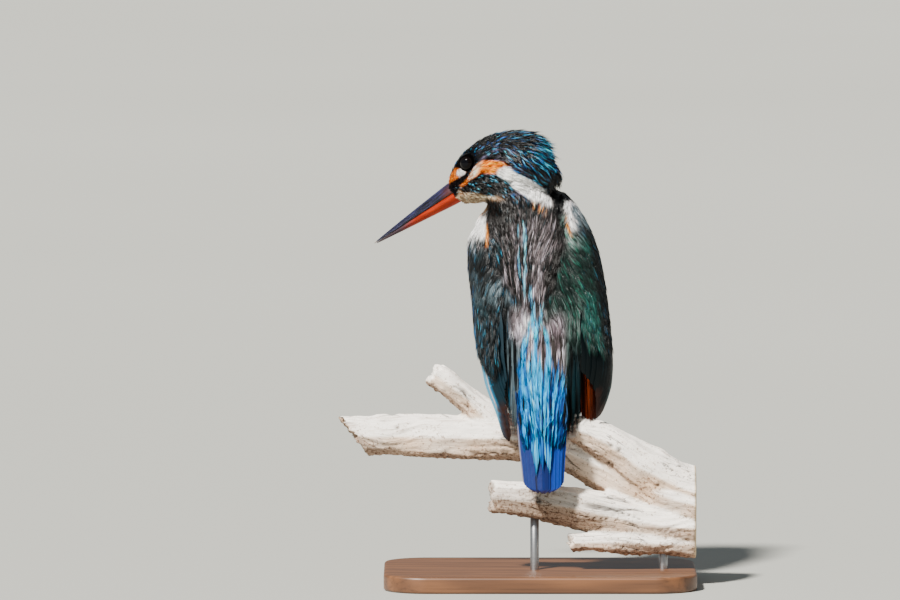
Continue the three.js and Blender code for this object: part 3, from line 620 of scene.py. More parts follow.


# What each spot of plumage wears: a dark and a light colour, how much of it is light, and the colour
# of the feather tips with how many have it. Streaks are noise stretched along the locks.
# Some of these colours are painted light: sheen on the back, the right shoulder and the head, and shade on the bird's
# right side and between the locks.
def markings(p, onWing, leftWing):
    back, left, up = inHead(p)
    head = headness(p)
    x, z = p[..., 0], p[..., 2]
    across, behind, past = backPlace(p)
    onBack = smooth(behind, -3.5, 1.5)
    cloud = rough(p / 3.1, 21, 2)
    lock = lockAt(p)
    deep, strand, aside = behind * 0.05, lockAt(p, 4, 97), np.arctan2(left, up + 4)
    streaked = 0.65 * noiseOf(lock * 0.8, z * 0.07, deep, 5) + 0.85 * noiseOf(lock * 2.2, z * 0.13, deep, 6)
    stranded = (0.5 * noiseOf(strand * 0.75, z * 0.03, behind * 0.04, 15)
                + 0.95 * noiseOf(strand * 1.9, z * 0.05, behind * 0.04, 16))
    flecked = noiseOf(lock * 3.2, z * 0.42, deep, 14)
    streaked = streaked + (stranded - streaked) * (1 - smooth(z, 90, 100))
    patchy = noiseOf(lock * 0.28, z * 0.09, deep, 9)
    combed = noiseOf(aside * 9, back * 0.16, up * 0.05, 8) + 0.5 * noiseOf(aside * 20, back * 0.3, up * 0.05, 4)
    dark, light, tip = np.zeros(p.shape), np.zeros(p.shape), np.zeros(p.shape)
    lit, tips = np.zeros(z.shape), np.zeros(z.shape)

    def wear(share, darkName, lightName, litAt, tipName=None, tipsAt=0.0):
        nonlocal dark, light, lit, tip, tips
        dark, light = blend(dark, tone(darkName), share), blend(light, tone(lightName), share)
        lit = lit * (1 - share) + np.clip(litAt, 0, 1) * share
        tip = blend(tip, tone(tipName or lightName), share)
        tips = tips * (1 - share) + np.clip(tipsAt, 0, 1) * share

    # underparts, back and shoulders
    wear(np.ones(z.shape), "copper", "bellyPale", 0.55 + 0.16 * cloud + 0.2 * streaked, "gold", 0.2)
    upper = smooth(z, 112, 124)
    # the dark umber mantle is its own colour; its pink-grey and pearl light barbs are painted sheen of the sun on the
    # plumage
    wear(onBack, "umber", "pinkGrey",
         0.36 + (0.45 - 0.3 * upper) * streaked + 0.4 * upper * flecked + 0.3 * patchy, "teal", 0.08)
    wear(onBack * smooth(streaked + 0.5 * flecked, 0.3, 0.6) * smooth(patchy, -0.1, 0.3),
         "taupe", "pearl", 0.5 - 0.12 * upper, "pearl", 0.1)
    wear(onBack * smooth(z, 130, 136), "umber", "pinkGrey", 0.26 + 0.4 * flecked, "teal", 0.25)
    outer = onBack * smooth(past, -1, 2.5)
    # the pale sage barbs of the right shoulder are painted sheen
    wear(outer * smooth(across, 0, 1), "pine", "sage",
         0.5 + 0.45 * streaked + 0.25 * flecked + 0.1 * patchy, "emerald", 0.22)
    wear(outer * smooth(-across, 0, 1), "slate", "steelGrey", 0.33 + 0.45 * streaked + 0.2 * patchy, "tealBlue", 0.06)
    crown = 96 + 5 * smooth(-x, 2, 8) + 3 * smooth(x, 1, 6)
    # the pale pink-grey, pearl and rose wedge down the middle of the back is a painted highlight where the light falls
    # brightest
    wear(onBack * band(x, -10.6, -1.2, 1.8) * band(z, 89, crown, 3),
         "pinkGrey", "pearl", 0.55 + 0.55 * streaked, "white", 0.15)
    wear(onBack * band(x, -5.0, 2.4, 0.9) * band(z, 77, 92, 3), "pinkGrey", "pearl", 0.5 + 0.6 * streaked, "white", 0.1)
    wear(onBack * band(x, -1.2, 9.0, 1.8) * band(z, 76, crown, 4),
         "taupe", "rose", 0.45 + 0.55 * streaked, "pearl", 0.12)
    lowSide = np.maximum(onBack, (1 - smooth(z, 66, 74)) * smooth(behind, -9, -6))
    wear(lowSide * band(x, -15, -7.4, 1.2) * (1 - smooth(z, 84, 93)),
         "slate", "steelGrey", 0.46 + 0.5 * streaked, "tealBlue", 0.2)
    # near black on the bird's right side: painted shade over its own dark green
    wear(lowSide * smooth(x, 8.8, 11.2) * (1 - smooth(z, 80, 94)),
         "nightGreen", "teal", 0.30 + 0.35 * streaked, "steelGrey", 0.05)
    reach = 1.7 * smooth(92 - z, 0, 24) - 0.85 - 0.9 * smooth(np.abs(x + 0.4), 6, 11) * smooth(z, 58, 66)
    blue = onBack * band(x, -10.2, 9.6, 1.2) * smooth(reach + 0.95 * streaked, -0.05, 0.3)
    wear(blue, "cobalt", "azure", 0.62 + 0.9 * streaked - 0.3 * smooth(np.abs(x + 1), 5, 9), "ice", 0.05)
    wear(blue * smooth(streaked, 0.06, 0.28) * smooth(6.2 - np.abs(x + 0.5), -1, 1.5),
         "azure", "ice", 0.62 + 0.5 * streaked, "frost", 0.16)
    # black and cobalt between the blue streaks: painted shade between the locks
    wear(blue * smooth(-streaked, 0.06, 0.34), "black", "cobalt", 0.55, "azure", 0.0)
    drawn = onBack * strokes(x - 0.45 * noise(p / (1.6, 1.6, 2.4), 7), z, azureStrands)
    wear(drawn * smooth(flecked + 1.2 * streaked, -0.9, -0.3),
         "azure", "ice", 0.45 + 0.5 * streaked + 0.3 * smooth(z, 84, 95), "ice", 0.5)
    wear(drawn * smooth(z, 96, 104) * smooth(flecked + 1.2 * streaked, -0.7, -0.1),
         "tealBlue", "frost", 0.55 + 0.5 * streaked + 0.3 * flecked, "frost", 0.5)
    # black in the rump's gaps: painted shade between the locks
    wear(onBack * strokes(x - 0.3 * noise(p / 2.2, 7), z, rumpGaps), "black", "cobalt", 0.2, "cobalt", 0.0)

    # wings
    right, leftSide = onWing * (1 - leftWing), onWing * leftWing
    wear(right, "pine", "tealGreen", 0.42 + 0.5 * streaked, "emerald", 0.12 + 0.16 * patchy)
    wear(right * smooth(noise(p / 1.4, 35), 0.15, 0.35), "pine", "tealGreen", 0.42 + 0.5 * streaked, "tealBlue", 0.3)
    # the pale sage of the upper right wing is painted sheen
    wear(right * smooth(z, 98, 118) * (1 - smooth(x, 13, 18)),
         "pine", "sage", 0.42 + 0.5 * streaked + 0.35 * flecked, "emerald", 0.2)
    # near black along the right wing's outer edge: painted shade on the wing's shaded side
    wear(right * smooth(x - 19.6 - 0.13 * (118 - z), -1.4, 1.2),
         "nightGreen", "teal", 0.25 + 0.3 * streaked, "tealBlue", 0.06)
    wear(leftSide, "slate", "teal", 0.42 + 0.5 * streaked, "tealBlue", 0.14)
    wear(leftSide * smooth(noise(p / 1.3, 36), 0.2, 0.4), "slate", "teal", 0.42 + 0.5 * streaked, "crownCyan", 0.12)
    wear(leftSide * smooth(z, 98, 112) * smooth(patchy + 0.5 * streaked, -0.1, 0.3),
         "slate", "steelGrey", 0.40 + 0.5 * streaked, "tealBlue", 0.08)
    wear(leftSide * smooth(-x - 23.4 - 0.07 * (z - 95), -0.6, 0.8),
         "slate", "tealBlue", 0.32 + 0.4 * streaked, "crownBlue", 0.1)
    wear(onWing * smooth(-behind, 2, 8) * smooth(cloud, 0.1, 0.5), "slate", "teal", 0.3, "crownCyan", 0.4)

    # the pale bends of the wings, with their rusty inner edges
    bend = np.maximum(onWing, smooth(past, -2.5, 0.5)) * smooth(z, 118, 122)
    bend = np.maximum(bend, smooth(-x, 17.5, 18.5) * smooth(z, 118, 122) * onBack)
    onLeft, onRight = smooth(-x, 9, 11), smooth(x, 3, 5)
    leftBend = bend * onLeft * band(x, -28, -19.8, 0.5) * (1 - smooth(z, 132.8, 134.3))
    wear(leftBend * smooth(z, 119, 124), "slate", "steelGrey", 0.5 + 0.4 * streaked + 0.3 * cloud, "shell", 0.3)
    wear(leftBend * smooth(z + 1.2 * cloud, 124.5, 127.5), "shell", "white", 0.95, "white", 0.7)
    wear(bend * onLeft * band(x, -19.9, -19.0, 0.4) * band(z, 124, 131, 1), "orange", "gold", 0.6, "cream", 0.5)
    wear(bend * onLeft * band(x, -18.9, -17.8, 0.4) * band(z, 125, 134.5, 1.5), "black", "ink", 0.3, "ink", 0.0)
    middle = 10.3 + 0.26 * (138 - z)
    wear(bend * onRight * band(x - middle, 0.5, 9, 0.8) * smooth(z, 125, 129),
         "slate", "steelGrey", 0.42 + 0.4 * streaked + 0.2 * cloud, "tealBlue", 0.12)
    wear(bend * onRight * band(x - middle, 0.3, 3.2, 0.8) * smooth(z, 129, 132),
         "steelGrey", "shell", 0.30 + 0.5 * streaked + 0.3 * cloud, "shell", 0.2)
    wear(bend * onRight * band(x - middle, -1.4, 0.6, 0.5) * band(z, 129.5, 139, 1.2),
         "shell", "white", 0.85, "white", 0.5)
    wear(bend * onRight * band(x - middle, -2.3, -1.4, 0.4) * band(z, 128, 136, 1.5), "rust", "gold", 0.5, "cream", 0.4)

    # head
    fleck = noise(p / 0.9, 33)
    often = 0.12 + 0.16 * cloud + 0.22 * combed + 0.25 * smooth(back - 0.5 * up, 38, 46)
    wear(head, "black", "crownMid", 0.40 + 0.4 * combed, "crownCyan", often)
    wear(head * smooth(fleck, -0.05, 0.15), "black", "crownMid", 0.40 + 0.4 * combed, "crownBlue", often + 0.08)
    # violet-grey lilac barbs round the back of the eye: painted sheen on the head
    violetSheen = (head * smooth(np.hypot(back - eyes["back"], up - eyes["up"]), 4.5, 7.5) * band(back, 12, 31, 4)
              * smooth(cloud + 0.5 * combed + 0.4 * fleck, -0.15, 0.3))
    wear(violetSheen, "ink", "lilac", 0.30 + 0.4 * combed, "crownBlue", 0.12 + 0.25 * combed)
    throat = (head * smooth(-up - 0.52 * back - 3.0 * (1 - smooth(back, 1.5, 5.5)), -3.0, -1.2)
              * (1 - smooth(back, 17, 21)))
    wear(throat, "fawn", "buff", 0.6 + 0.5 * combed + 0.3 * fleck, "cream", 0.3 + 0.4 * smooth(back, 9, 15))
    for patch, soft, *worn in (
            ("malar", 0.6, "black", "crownMid", 0.4 + 0.3 * combed, "crownCyan", 0.14 + 0.16 * cloud + 0.12 * combed),
            ("gape", 0.4, "rust", "orange", 0.8, "gold", 0.4), ("lore", 0.5, "rust", "orange", 0.7, "gold", 0.3),
            ("mask", 0.5, "black", "black", 0.4, "ink", 0.05), ("strap", 0.4, "black", "brown", 0.2, "brown", 0.1),
            ("ear", 0.45, "rust", "orange", 0.62 + 0.35 * combed, "gold", 0.5),
            ("spot", 0.45, "shell", "white", 0.8, "white", 0.4)):
        wear(head * inside(back, up, headPatches[patch], soft), *worn)
    cheek = head * inside(back, up, headPatches["ear"], 0.5) * (1 - smooth(back - 1.2 * up, 12, 17))
    wear(cheek, "orange", "cream", 0.75, "white", 0.5)
    patch = inside(back, up, headPatches["white"], 0.45) * smooth(np.abs(left), 0.5, 1.6)
    wear(patch, "shell", "white", 0.97, "white", 0.8)
    wear((1 - patch) * smooth(behind, -9, -6) * band(-x, 10, 19.5, 0.9) * band(z, 131, 140.3, 0.9) * (1 - leftBend),
         "umber", "taupe", 0.3 + 0.3 * streaked, "teal", 0.1)
    fringe = onBack * (1 - patch) * band(x, -2.6, 2.6, 0.8) * band(z + 0.5 * x, 136.5, 140.4, 0.9)
    wear(fringe * smooth(streaked, -0.5, 0.1), "rust", "gold", 0.6, "cream", 0.4)
    # a black patch on the shoulder to the right of the nape: painted shadow under the nape
    napeShadow = (band(x - 0.7 * np.maximum(138 - z, 0), 3.8, 12.6, 0.8) * smooth(z, 134, 135.5)
            * (1 - head * smooth(up, -20, -17)) * (1 - patch))
    wear(napeShadow * ((x < middle - 1.4) | (z > 139.8)), "black", "black", 0.3, "black", 0.0)
    return dark, light, lit, tip, tips


# The skin wears the darker side of the markings, dimmed as painted shade, as it shows only in the shade between the
# feathers.
def addSkin():
    onWing = 1 - smooth(skinWings, 0.5, 1.6)
    dark, light, lit, _, _ = markings(skinPoints, onWing, (skinPoints[:, 0] < 0) * 1.0)
    colour = blend(dark, light, 0.5 * lit) * 0.6
    finish = Finish("downSkin", Roughness=0.9, Specular_IOR_Level=0.05)
    patch = finish.grain(finish.place(), 2200.0, 3.0)
    finish.put(Base_Color=finish.mix(patch * 0.5, finish.read("plumage", "Color"), (0.01, 0.01, 0.012)))
    finish.put(Normal=finish.bump(patch, 0.2, 0.7))
    skin = makePiece("skin", skinPoints, skinFaces, finish.material, {"plumage": opaque(colour)})
    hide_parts("head", "neck", "trunk", "wing_left", "wing_right", "thigh_left", "thigh_right",
                "tail_coverts_upper", "tail_coverts_under")


addSkin()
print("skin made")


# The finish of a coat: its own colours, streaked along each barb, with a fine bump.
def featherFinish(name, roughness=0.42, sheen=0.0, gloss=0.5, streaks=0.5):
    finish = Finish(name, Sheen_Weight=sheen, Sheen_Roughness=0.4, Specular_IOR_Level=gloss)
    across, along, luck = finish.parts(finish.read("vane"))
    place = finish.join(across * 1.8, along * 1.6, luck * 97.0)
    streak = finish.grain(place, 1.6, 3.0)
    base = finish.read("plumage", "Color")
    deep = finish.tint(base, (0.4, 0.4, 0.43))
    finish.put(Base_Color=finish.mix(streak.ramp(0.3, 0.75) * streaks, base, deep))
    finish.put(Roughness=streak * 0.3 + (roughness - 0.15))
    finish.put(Normal=finish.bump(streak, 0.05, 0.4))
    return finish.material


# Walks a line over a surface from each root, the way the plumage lies.
def walk(surface, roots, length, swing):
    rows = 7
    point, normal = surface.touch(roots)
    points, sides, normals = [], [], []
    for i in range(rows):
        way = square(lieAt(point), normal)
        way = unit(way + np.cross(normal, way) * swing[:, None])
        points.append(point)
        sides.append(np.cross(normal, way))
        normals.append(normal)
        if i < rows - 1:
            point, normal = surface.touch(point + way * (length / (rows - 1))[:, None])
    return np.stack(points, 1), np.stack(sides, 1), np.stack(normals, 1)


def readAlong(path, share):  # points of each path at shares of its length
    place = np.clip(share, 0, 1) * (path.shape[1] - 1)
    low = np.minimum(place.astype(int), path.shape[1] - 2)
    part = (place - low)[..., None]
    return (np.take_along_axis(path, low[..., None], 1) * (1 - part)
            + np.take_along_axis(path, low[..., None] + 1, 1) * part)


def bodyChart(p):  # the skin unrolled: turn about the body's line, and height
    cx, cy = stations(bodyLine, p[..., 2])
    return joined(np.arctan2(p[..., 0] - cx, -(p[..., 1] - cy)) / (2 * np.pi) + 0.5, p[..., 2] / 160)


def headChart(p):  # the head unrolled about the bill's axis
    back, left, up = inHead(p)
    return joined(np.arctan2(left, up + 3) / (2 * np.pi) + 0.5, back / 60)


def bakePlace(chart, roots):  # the chart of the roots, fitted to the unit square
    at = chart(roots)
    low, high = at.min(0), at.max(0)
    return 0.01 + 0.98 * (at - low) / np.maximum(high - low, 1e-6)


# One coat piece. Each feather is a fan of barbs along one line: a barb keeps its place across the fan,
# which widens from the root and gathers to a point by its share of "gather". A barb is a closed vane of
# three edges that thins to its tip, and takes its colours from the markings where it shows.
def growFeathers(name, slot, finish, roots, size, path=None, chart=bodyChart, barbs=8, segments=3, wing=0.0, side=0.0,
                 worn=None, contrast=0.28, mingled=0.62, wild=0.4, tipFrom=0.34):
    count = len(roots)
    full = {"root": -0.2, "stiff": 0.0, "gather": 0.8, "swing": 0.1, "fine": 0.16, "width": 1.3,
            "rise": 0.8, "depth": 0.3}
    full.update(size)
    size = {key: np.broadcast_to(np.asarray(value, float), (count,)) for key, value in full.items()}
    length = size["length"] * np.exp(dice.normal(0, 0.1, count))
    line, sides, lifts = path or walk(skinSurface, roots, length, dice.normal(0, 1, count) * size["swing"])
    share = np.linspace(0, 1, line.shape[1])
    straight = line[:, :1] + unit(line[:, 1:2] - line[:, :1]) * (length[:, None] * share)[..., None]
    line = blend(line, straight, np.broadcast_to(size["stiff"][:, None], line.shape[:2]) * share)
    lift = size["rise"] * np.exp(dice.normal(0, 0.2, count))
    line = line + lifts * (size["root"][:, None] + (lift - size["root"])[:, None] * share ** 0.8)[..., None]

    a = np.linspace(-1, 1, barbs)[None] + dice.normal(0, 0.5 / barbs, (count, barbs))
    start = 0.28 * dice.random((count, barbs))
    end = 1 - 0.22 * a ** 2 - 0.14 * dice.random((count, barbs))
    v = np.linspace(0, 1, segments + 1)
    s = start[..., None] + (end - start)[..., None] * v
    flat = s.reshape(count, -1)
    spread = size["width"][:, None] * (0.45 + 1.1 * flat) * (1 - size["gather"][:, None] * flat ** 2)
    lateral = np.repeat(a, segments + 1, 1) * spread
    loose = np.repeat(dice.normal(0, 0.12, (count, barbs)), segments + 1, 1)
    high = size["depth"][:, None] * (1 - np.repeat(a, segments + 1, 1) ** 2) + loose * flat
    centre = readAlong(line, flat)
    across, up = readAlong(sides, flat), readAlong(lifts, flat)
    centre = (centre + across * lateral[..., None] + up * high[..., None]).reshape(count * barbs, segments + 1, 3)
    roll = np.repeat((-0.55 * a + dice.normal(0, 0.25, a.shape)), segments + 1, 1)[..., None]
    edge = (across * np.cos(roll) + up * np.sin(roll)).reshape(centre.shape)
    top = (up * np.cos(roll) - across * np.sin(roll)).reshape(centre.shape)
    fine = np.repeat(size["fine"] * np.exp(dice.normal(0, 0.1, count)), barbs)
    fine = fine * np.exp(dice.normal(0, 0.18, count * barbs))
    half = fine[:, None] * (np.minimum(1, 0.45 + 2.2 * v) * (1 - v ** 2.5) ** 0.8 + 0.05)
    shape = np.array([(-1, 0), (0, 0.5), (1, 0)])
    ring = (centre[:, :, None] + edge[:, :, None] * (half[..., None] * shape[:, 0])[..., None]
            + top[:, :, None] * (half[..., None] * shape[:, 1])[..., None])

    total = count * barbs
    dark, light, lit, tip, tips = worn(centre) if worn else markings(
        centre, np.full(centre.shape[:-1], wing), np.full(centre.shape[:-1], side))
    luck = np.repeat(dice.random(count), barbs)
    chance = 0.5 + wild * ((1 - mingled) * luck + mingled * dice.random(total) - 0.5)
    ground = blend(dark, light, smooth(lit - chance[:, None], -0.14, 0.14))
    tipped = (1 - mingled) * luck + mingled * dice.random(total) < 0.12 + 0.76 * tips[:, -1]
    tipped &= tips[:, -1] > 0.01
    rich = np.exp(np.repeat(dice.normal(0, contrast * 0.8, count), barbs) + dice.normal(0, contrast * 0.6, total))
    rich = np.where(light[:, -1].mean(-1) > 0.7, np.clip(rich, 0.9, 1.04), rich)
    bright = smooth(v[None], tipFrom, tipFrom + 0.28) * tipped[:, None]
    colour = blend(ground, tip, bright)
    # darker towards the root: painted shade under the overlapping feathers, over the feathers' own darker bases
    colour = colour * (0.45 + 0.55 * smooth(v, 0, 0.4))[None, :, None] * rich[:, None, None]
    colour = opaque(np.broadcast_to(np.clip(colour, 0, 1)[:, :, None], ring.shape))
    vane = joined(shape[None, None, :, 0], v[None, :, None], dice.random(total)[:, None, None])
    at = np.repeat(bakePlace(chart, roots), barbs, 0)[:, None, None]
    patch = joined((a.ravel() * 0.4)[:, None, None] + 0.1 * shape[None, None, :, 0], v[None, :, None] - 0.5)
    makePiece(name, ring.reshape(-1, 3), gridCopies(total, segments + 1, len(shape), True), finish,
              {"plumage": colour.reshape(-1, 4), "vane": vane.reshape(-1, 3)}, (at + 0.003 * patch).reshape(-1, 2))
    triangles = total * (6 * segments + 2)
    tally["coat"] += triangles
    print(f"{name}: {count} feathers, {total} barbs, {triangles} triangles")


tally = {"coat": 0}


def rootsOver(spacing):  # evenly spread roots over the skin, with the wing or part that each is on
    helper = scratch("roots", skinPoints, skinFaces)
    remesh = helper.modifiers.new("remesh", "REMESH")
    remesh.mode, remesh.voxel_size = "VOXEL", spacing * mm
    points = evaluated(helper)[0]
    discard(helper)
    points = points + dice.normal(0, spacing * 0.28, points.shape)
    gaps = np.stack([partSurfaces[n].gap(points) for n in partNames])
    return points, np.array(partNames)[gaps.argmin(0)]


partSurfaces = {n: Surface(*nodeMesh(n)) for n in partNames}


def eyeGap(p):  # distance past the rim of the nearer eye's opening, along the head's side
    back, _, up = inHead(p)
    return np.hypot(back - eyes["back"], up - eyes["up"]) - eyes["opening"]


# How far right the nape's outline stands at each height.
napeLine = [[138, 5], [143, 5.6], [146, 6.9], [149, 7.3], [152, 6.4], [155, 5.4], [158, 4.6], [161, 4.3], [165, 3.2]]


# Head feathers by patch, smallest round the eyes and the bill, longest on the nape, where they end
# along its outline.
def growHead():
    finish = featherFinish("headPlumage", 0.38)
    soft = featherFinish("facePlumage", 0.65, 0.0, 0.04, 0.3)
    fineRoots, _ = rootsOver(0.95)
    broadRoots, _ = rootsOver(1.02)
    billRoots, _ = rootsOver(0.6)
    p = np.concatenate([billRoots[(inHead(billRoots)[0] < 3) & (headness(billRoots) > 0.3)],
                        fineRoots[band(inHead(fineRoots)[0], 3, 25, 0.01) > 0.5],
                        broadRoots[inHead(broadRoots)[0] >= 25]])
    back, left, up = inHead(p)
    billRoot = (back < 2.2) & (np.hypot(left / 2.5, (up - 0.2) / 2.7) < 1)
    p = p[(headness(p) > 0.3) & (eyeGap(p) > 0.25) & (back > -2.5) & ~billRoot]
    back, left, up = inHead(p)
    gap = eyeGap(p)
    on = {key: inside(back, up, outline) > 0.5 for key, outline in headPatches.items()}
    white = on["white"] & (np.abs(left) > 1.5)
    face = (on["ear"] | on["gape"] | on["lore"] | on["strap"] | on["mask"] | on["spot"] | (gap < 1.6)) & ~white
    malar = on["malar"] & ~face & ~white
    throat = ~face & ~malar & ~white & (-up - 0.52 * back > -2.2) & (back < 17)
    crown = ~(face | malar | white | throat)
    near = 0.30 + 0.70 * smooth(back, 3, 18)  # all is smaller towards the bill
    near = near * (0.5 + 0.5 * smooth(gap, 0.2, 5))

    def grow(name, slot, finish, pick, size, barbs, **how):
        size = {key: value[pick] if np.ndim(value) else value for key, value in size.items()}
        growFeathers(name, slot, finish, p[pick], size, chart=headChart, barbs=barbs, **how)

    late = smooth(back, 24, 38)
    crest = smooth(back, 27, 34) * smooth(up, -9, -2)
    grow("crownFeathers", "crown_feathers", finish, crown & (back < 25),
         dict(length=1.6 + 3.4 * near, width=0.22 + 0.26 * near, fine=0.09 + 0.04 * near,
              rise=0.10 + 0.15 * smooth(gap, 0.5, 3) + 0.55 * near, gather=0.75, depth=0.1),
         5, mingled=0.3, tipFrom=0.42)
    outline, = stations(napeLine, p[:, 2])
    room = (outline + 0.5 * dice.normal(0, 1, len(p)) - p[:, 0]) / np.maximum(lieAt(p)[:, 0], 0.25)
    hang = smooth(-up, 9, 13) * smooth(p[:, 0], 1, 4)
    longest = np.minimum(7.0 + 1.6 * late + 1.2 * crest, np.clip(room, 2.6 + 3 * hang, 9.5))
    grow("napeFeathers", "crown_feathers", finish, crown & (back >= 25),
         dict(length=longest, width=0.55, fine=0.12, rise=0.7 + 0.3 * late + 0.5 * crest,
              stiff=0.15 + 0.8 * np.maximum(crest, hang), gather=0.92, depth=0.25, swing=0.13),
         6, contrast=0.34, mingled=0.3)
    short = np.clip(0.8 + 0.35 * np.maximum(gap, 0), 0.8, 1.7)
    ear = on["ear"] & (back > 9)
    grow("faceFeathers", "belly_feathers", soft, face & ~ear,
         dict(length=short, width=0.34, fine=0.085, rise=0.14 + 0.08 * np.clip(gap, 0, 2), gather=0.6,
              depth=0.05, root=-0.1), 4, contrast=0.2)
    grow("earFeathers", "belly_feathers", soft, ear & face,
         dict(length=2.2 + 3.4 * smooth(back, 9, 19), width=0.7, fine=0.1, rise=0.6, gather=0.7,
              depth=0.12, swing=0.08), 6, contrast=0.3)
    grow("malarFeathers", "crown_feathers", finish, malar,
         dict(length=1.8 + 2.6 * smooth(back, 6, 18), width=0.42, fine=0.11, rise=0.5, gather=0.75, depth=0.1),
         5, mingled=0.3, tipFrom=0.4)
    pure = featherFinish("patchPlumage", 0.6, 0.0, 0.2, 0.1)
    grow("neckPatchFeathers", "back_feathers", pure, white,
         dict(length=6.0, width=1.2, fine=0.15, rise=1.5, gather=0.8, depth=0.25, stiff=0.25, swing=0.07),
         8, contrast=0.05)
    grow("throatFeathers", "belly_feathers", soft, throat,
         dict(length=1.6 + 3.2 * smooth(back, 3, 15), width=0.6, fine=0.1,
              rise=0.35 + 0.4 * smooth(back, 4, 14), gather=0.7, depth=0.1), 5, contrast=0.15)


def plainColours(q, dark, light, lit, tip, tips):  # one set of colours for all of a piece
    shape = q.shape[:-1]
    return (np.broadcast_to(dark, q.shape), np.broadcast_to(light, q.shape), np.full(shape, lit),
            np.broadcast_to(tip, q.shape), np.full(shape, tips))


# Body feathers by zone, from the mantle down to the tail, and underneath.
def growBody():
    finish = featherFinish("bodyPlumage", 0.42, 0.0, 0.35)
    soft = featherFinish("bellyPlumage", 0.6, 0.15, 0.3, 0.3)
    p, part = rootsOver(1.5)
    thin, thinPart = rootsOver(2.1)
    onTrunk = (headness(p) <= 0.45) & np.isin(part, ["head", "neck", "trunk"])
    upper = onTrunk & (backPlace(p)[1] > -1.5)
    z = p[:, 2]
    for name, pick, length, width, barbs, rise in (
            ("mantleFeathers", z > 116, 9.0, 1.0, 9, 0.6), ("backFeathers", (z <= 116) & (z > 96), 10.0, 1.1, 11, 0.6)):
        growFeathers(name, "back_feathers", finish, p[upper & pick],
                     dict(length=length, width=width, fine=0.12, rise=rise, gather=0.85, swing=0.05),
                     barbs=barbs, contrast=0.3)
    matt = featherFinish("rumpPlumage", 0.55, 0.0, 0.12, 0.3)
    for name, pick, length, width, rise, mingled in (
            ("lowerBackFeathers", (z <= 96) & (z > 76), 12.5, 0.95, 0.55, 0.35),
            ("rumpFeathers", z <= 76, 15.0, 0.8, 0.55, 0.15)):
        growFeathers(name, "back_feathers", matt, p[upper & pick],
                     dict(length=length, width=width, fine=0.13, rise=rise, gather=0.93, swing=0.03),
                     barbs=9, contrast=0.16, mingled=mingled, wild=0.14)
    below = (headness(thin) <= 0.45) & np.isin(thinPart, ["head", "neck", "trunk"]) & (backPlace(thin)[1] <= -1.0)
    for name, pick in (("breastFeathers", thin[:, 2] > 100), ("bellyFeathers", thin[:, 2] <= 100)):
        growFeathers(name, "belly_feathers", soft, thin[below & pick],
                     dict(length=7.5, width=1.9, fine=0.27, rise=1.0, gather=0.55, swing=0.08, depth=0.4),
                     barbs=7, segments=2, contrast=0.16)
    down = np.isin(part, ["thigh_left", "thigh_right"]) & (z > 66.5)
    growFeathers("thighFeathers", "belly_feathers", soft, p[down],
                 dict(length=3.4, width=0.9, fine=0.15, rise=0.5, gather=0.5, depth=0.15),
                 barbs=6, segments=2, contrast=0.16)
    growFeathers("underTailFeathers", "belly_feathers", soft, p[part == "tail_coverts_under"],
                 dict(length=7, width=1.2, fine=0.17, rise=0.6, gather=0.6, depth=0.2), barbs=7, contrast=0.16,
                 worn=lambda q: plainColours(q, tone("belly"), tone("bellyPale"), 0.5, tone("gold"), 0.2))
    off = np.abs(p[:, 0] - 1.2)
    vee = z > 52.5 + 0.95 * np.minimum(off, 9)
    reach = np.clip(12.5 - 1.0 * np.maximum(off - 4, 0), 5, 12.5)[(part == "tail_coverts_upper") & vee]
    growFeathers("upperTailFeathers", "rump_feathers", matt, p[(part == "tail_coverts_upper") & vee],
                 dict(length=reach, width=0.8, fine=0.13, rise=0.45, gather=0.95, stiff=0.5, swing=0.03),
                 barbs=9, contrast=0.16, mingled=0.15, wild=0.14)


# The plumes that hang down between the rump and each folded wing: rusty ones next to the wing, darkened as painted
# shade, and slate or near black ones at the rump's sides that end along its outline, the right-hand ones darker as
# painted shade.
def shadedRustColours(q):
    # rust darkened to a tenth and to 0.62: painted shade on the flank plumes
    rust = tone("rust")
    return plainColours(q, rust * 0.10, rust * 0.62, 0.42, rust, 0.04)


def sideColours(q):
    left = (q[..., 0] < 0)[..., None]
    lit = 0.5 + 0.1 * left[..., 0] + 0.6 * noiseOf(q[..., 0] * 1.7, q[..., 2] * 0.06, q[..., 1] * 0.3, 45)
    # the right-hand ones are near black, their light teal dimmed to 0.7 and fewer of them light: painted shade of the
    # bird's shaded right side
    return (np.where(left, tone("slate"), tone("nightGreen")), np.where(left, tone("steelGrey"), tone("teal") * 0.7),
            lit, np.broadcast_to(tone("tealBlue"), q.shape), 0.12 * left[..., 0])


flanks = {  # hand, across, depth, height of the tops, height of the ends by place across, aim, colours
    "leftFlank": (-1, (10.8, 13.4), (-8, 3), (78, 90), lambda x: 61.5 + np.abs(x - 12.2) * 1.1, 12.3, shadedRustColours),
    "rightFlank": (1, (14.6, 20.6), (-8, 3), (78, 90), lambda x: 53 + np.abs(x - 17.6) * 0.4, 17.6, shadedRustColours),
    "leftRumpSide": (-1, (8.0, 12.2), (-12, -5), (84, 94), lambda x: 51.5 + np.maximum(x - 8, 0) * 2.5, 10.8,
                     sideColours),
    "rightRumpSide": (1, (9.0, 15.0), (-12, -3), (80, 92), lambda x: 50 + np.maximum(x - 9, 0) * 1.15, 12.6,
                      sideColours)}


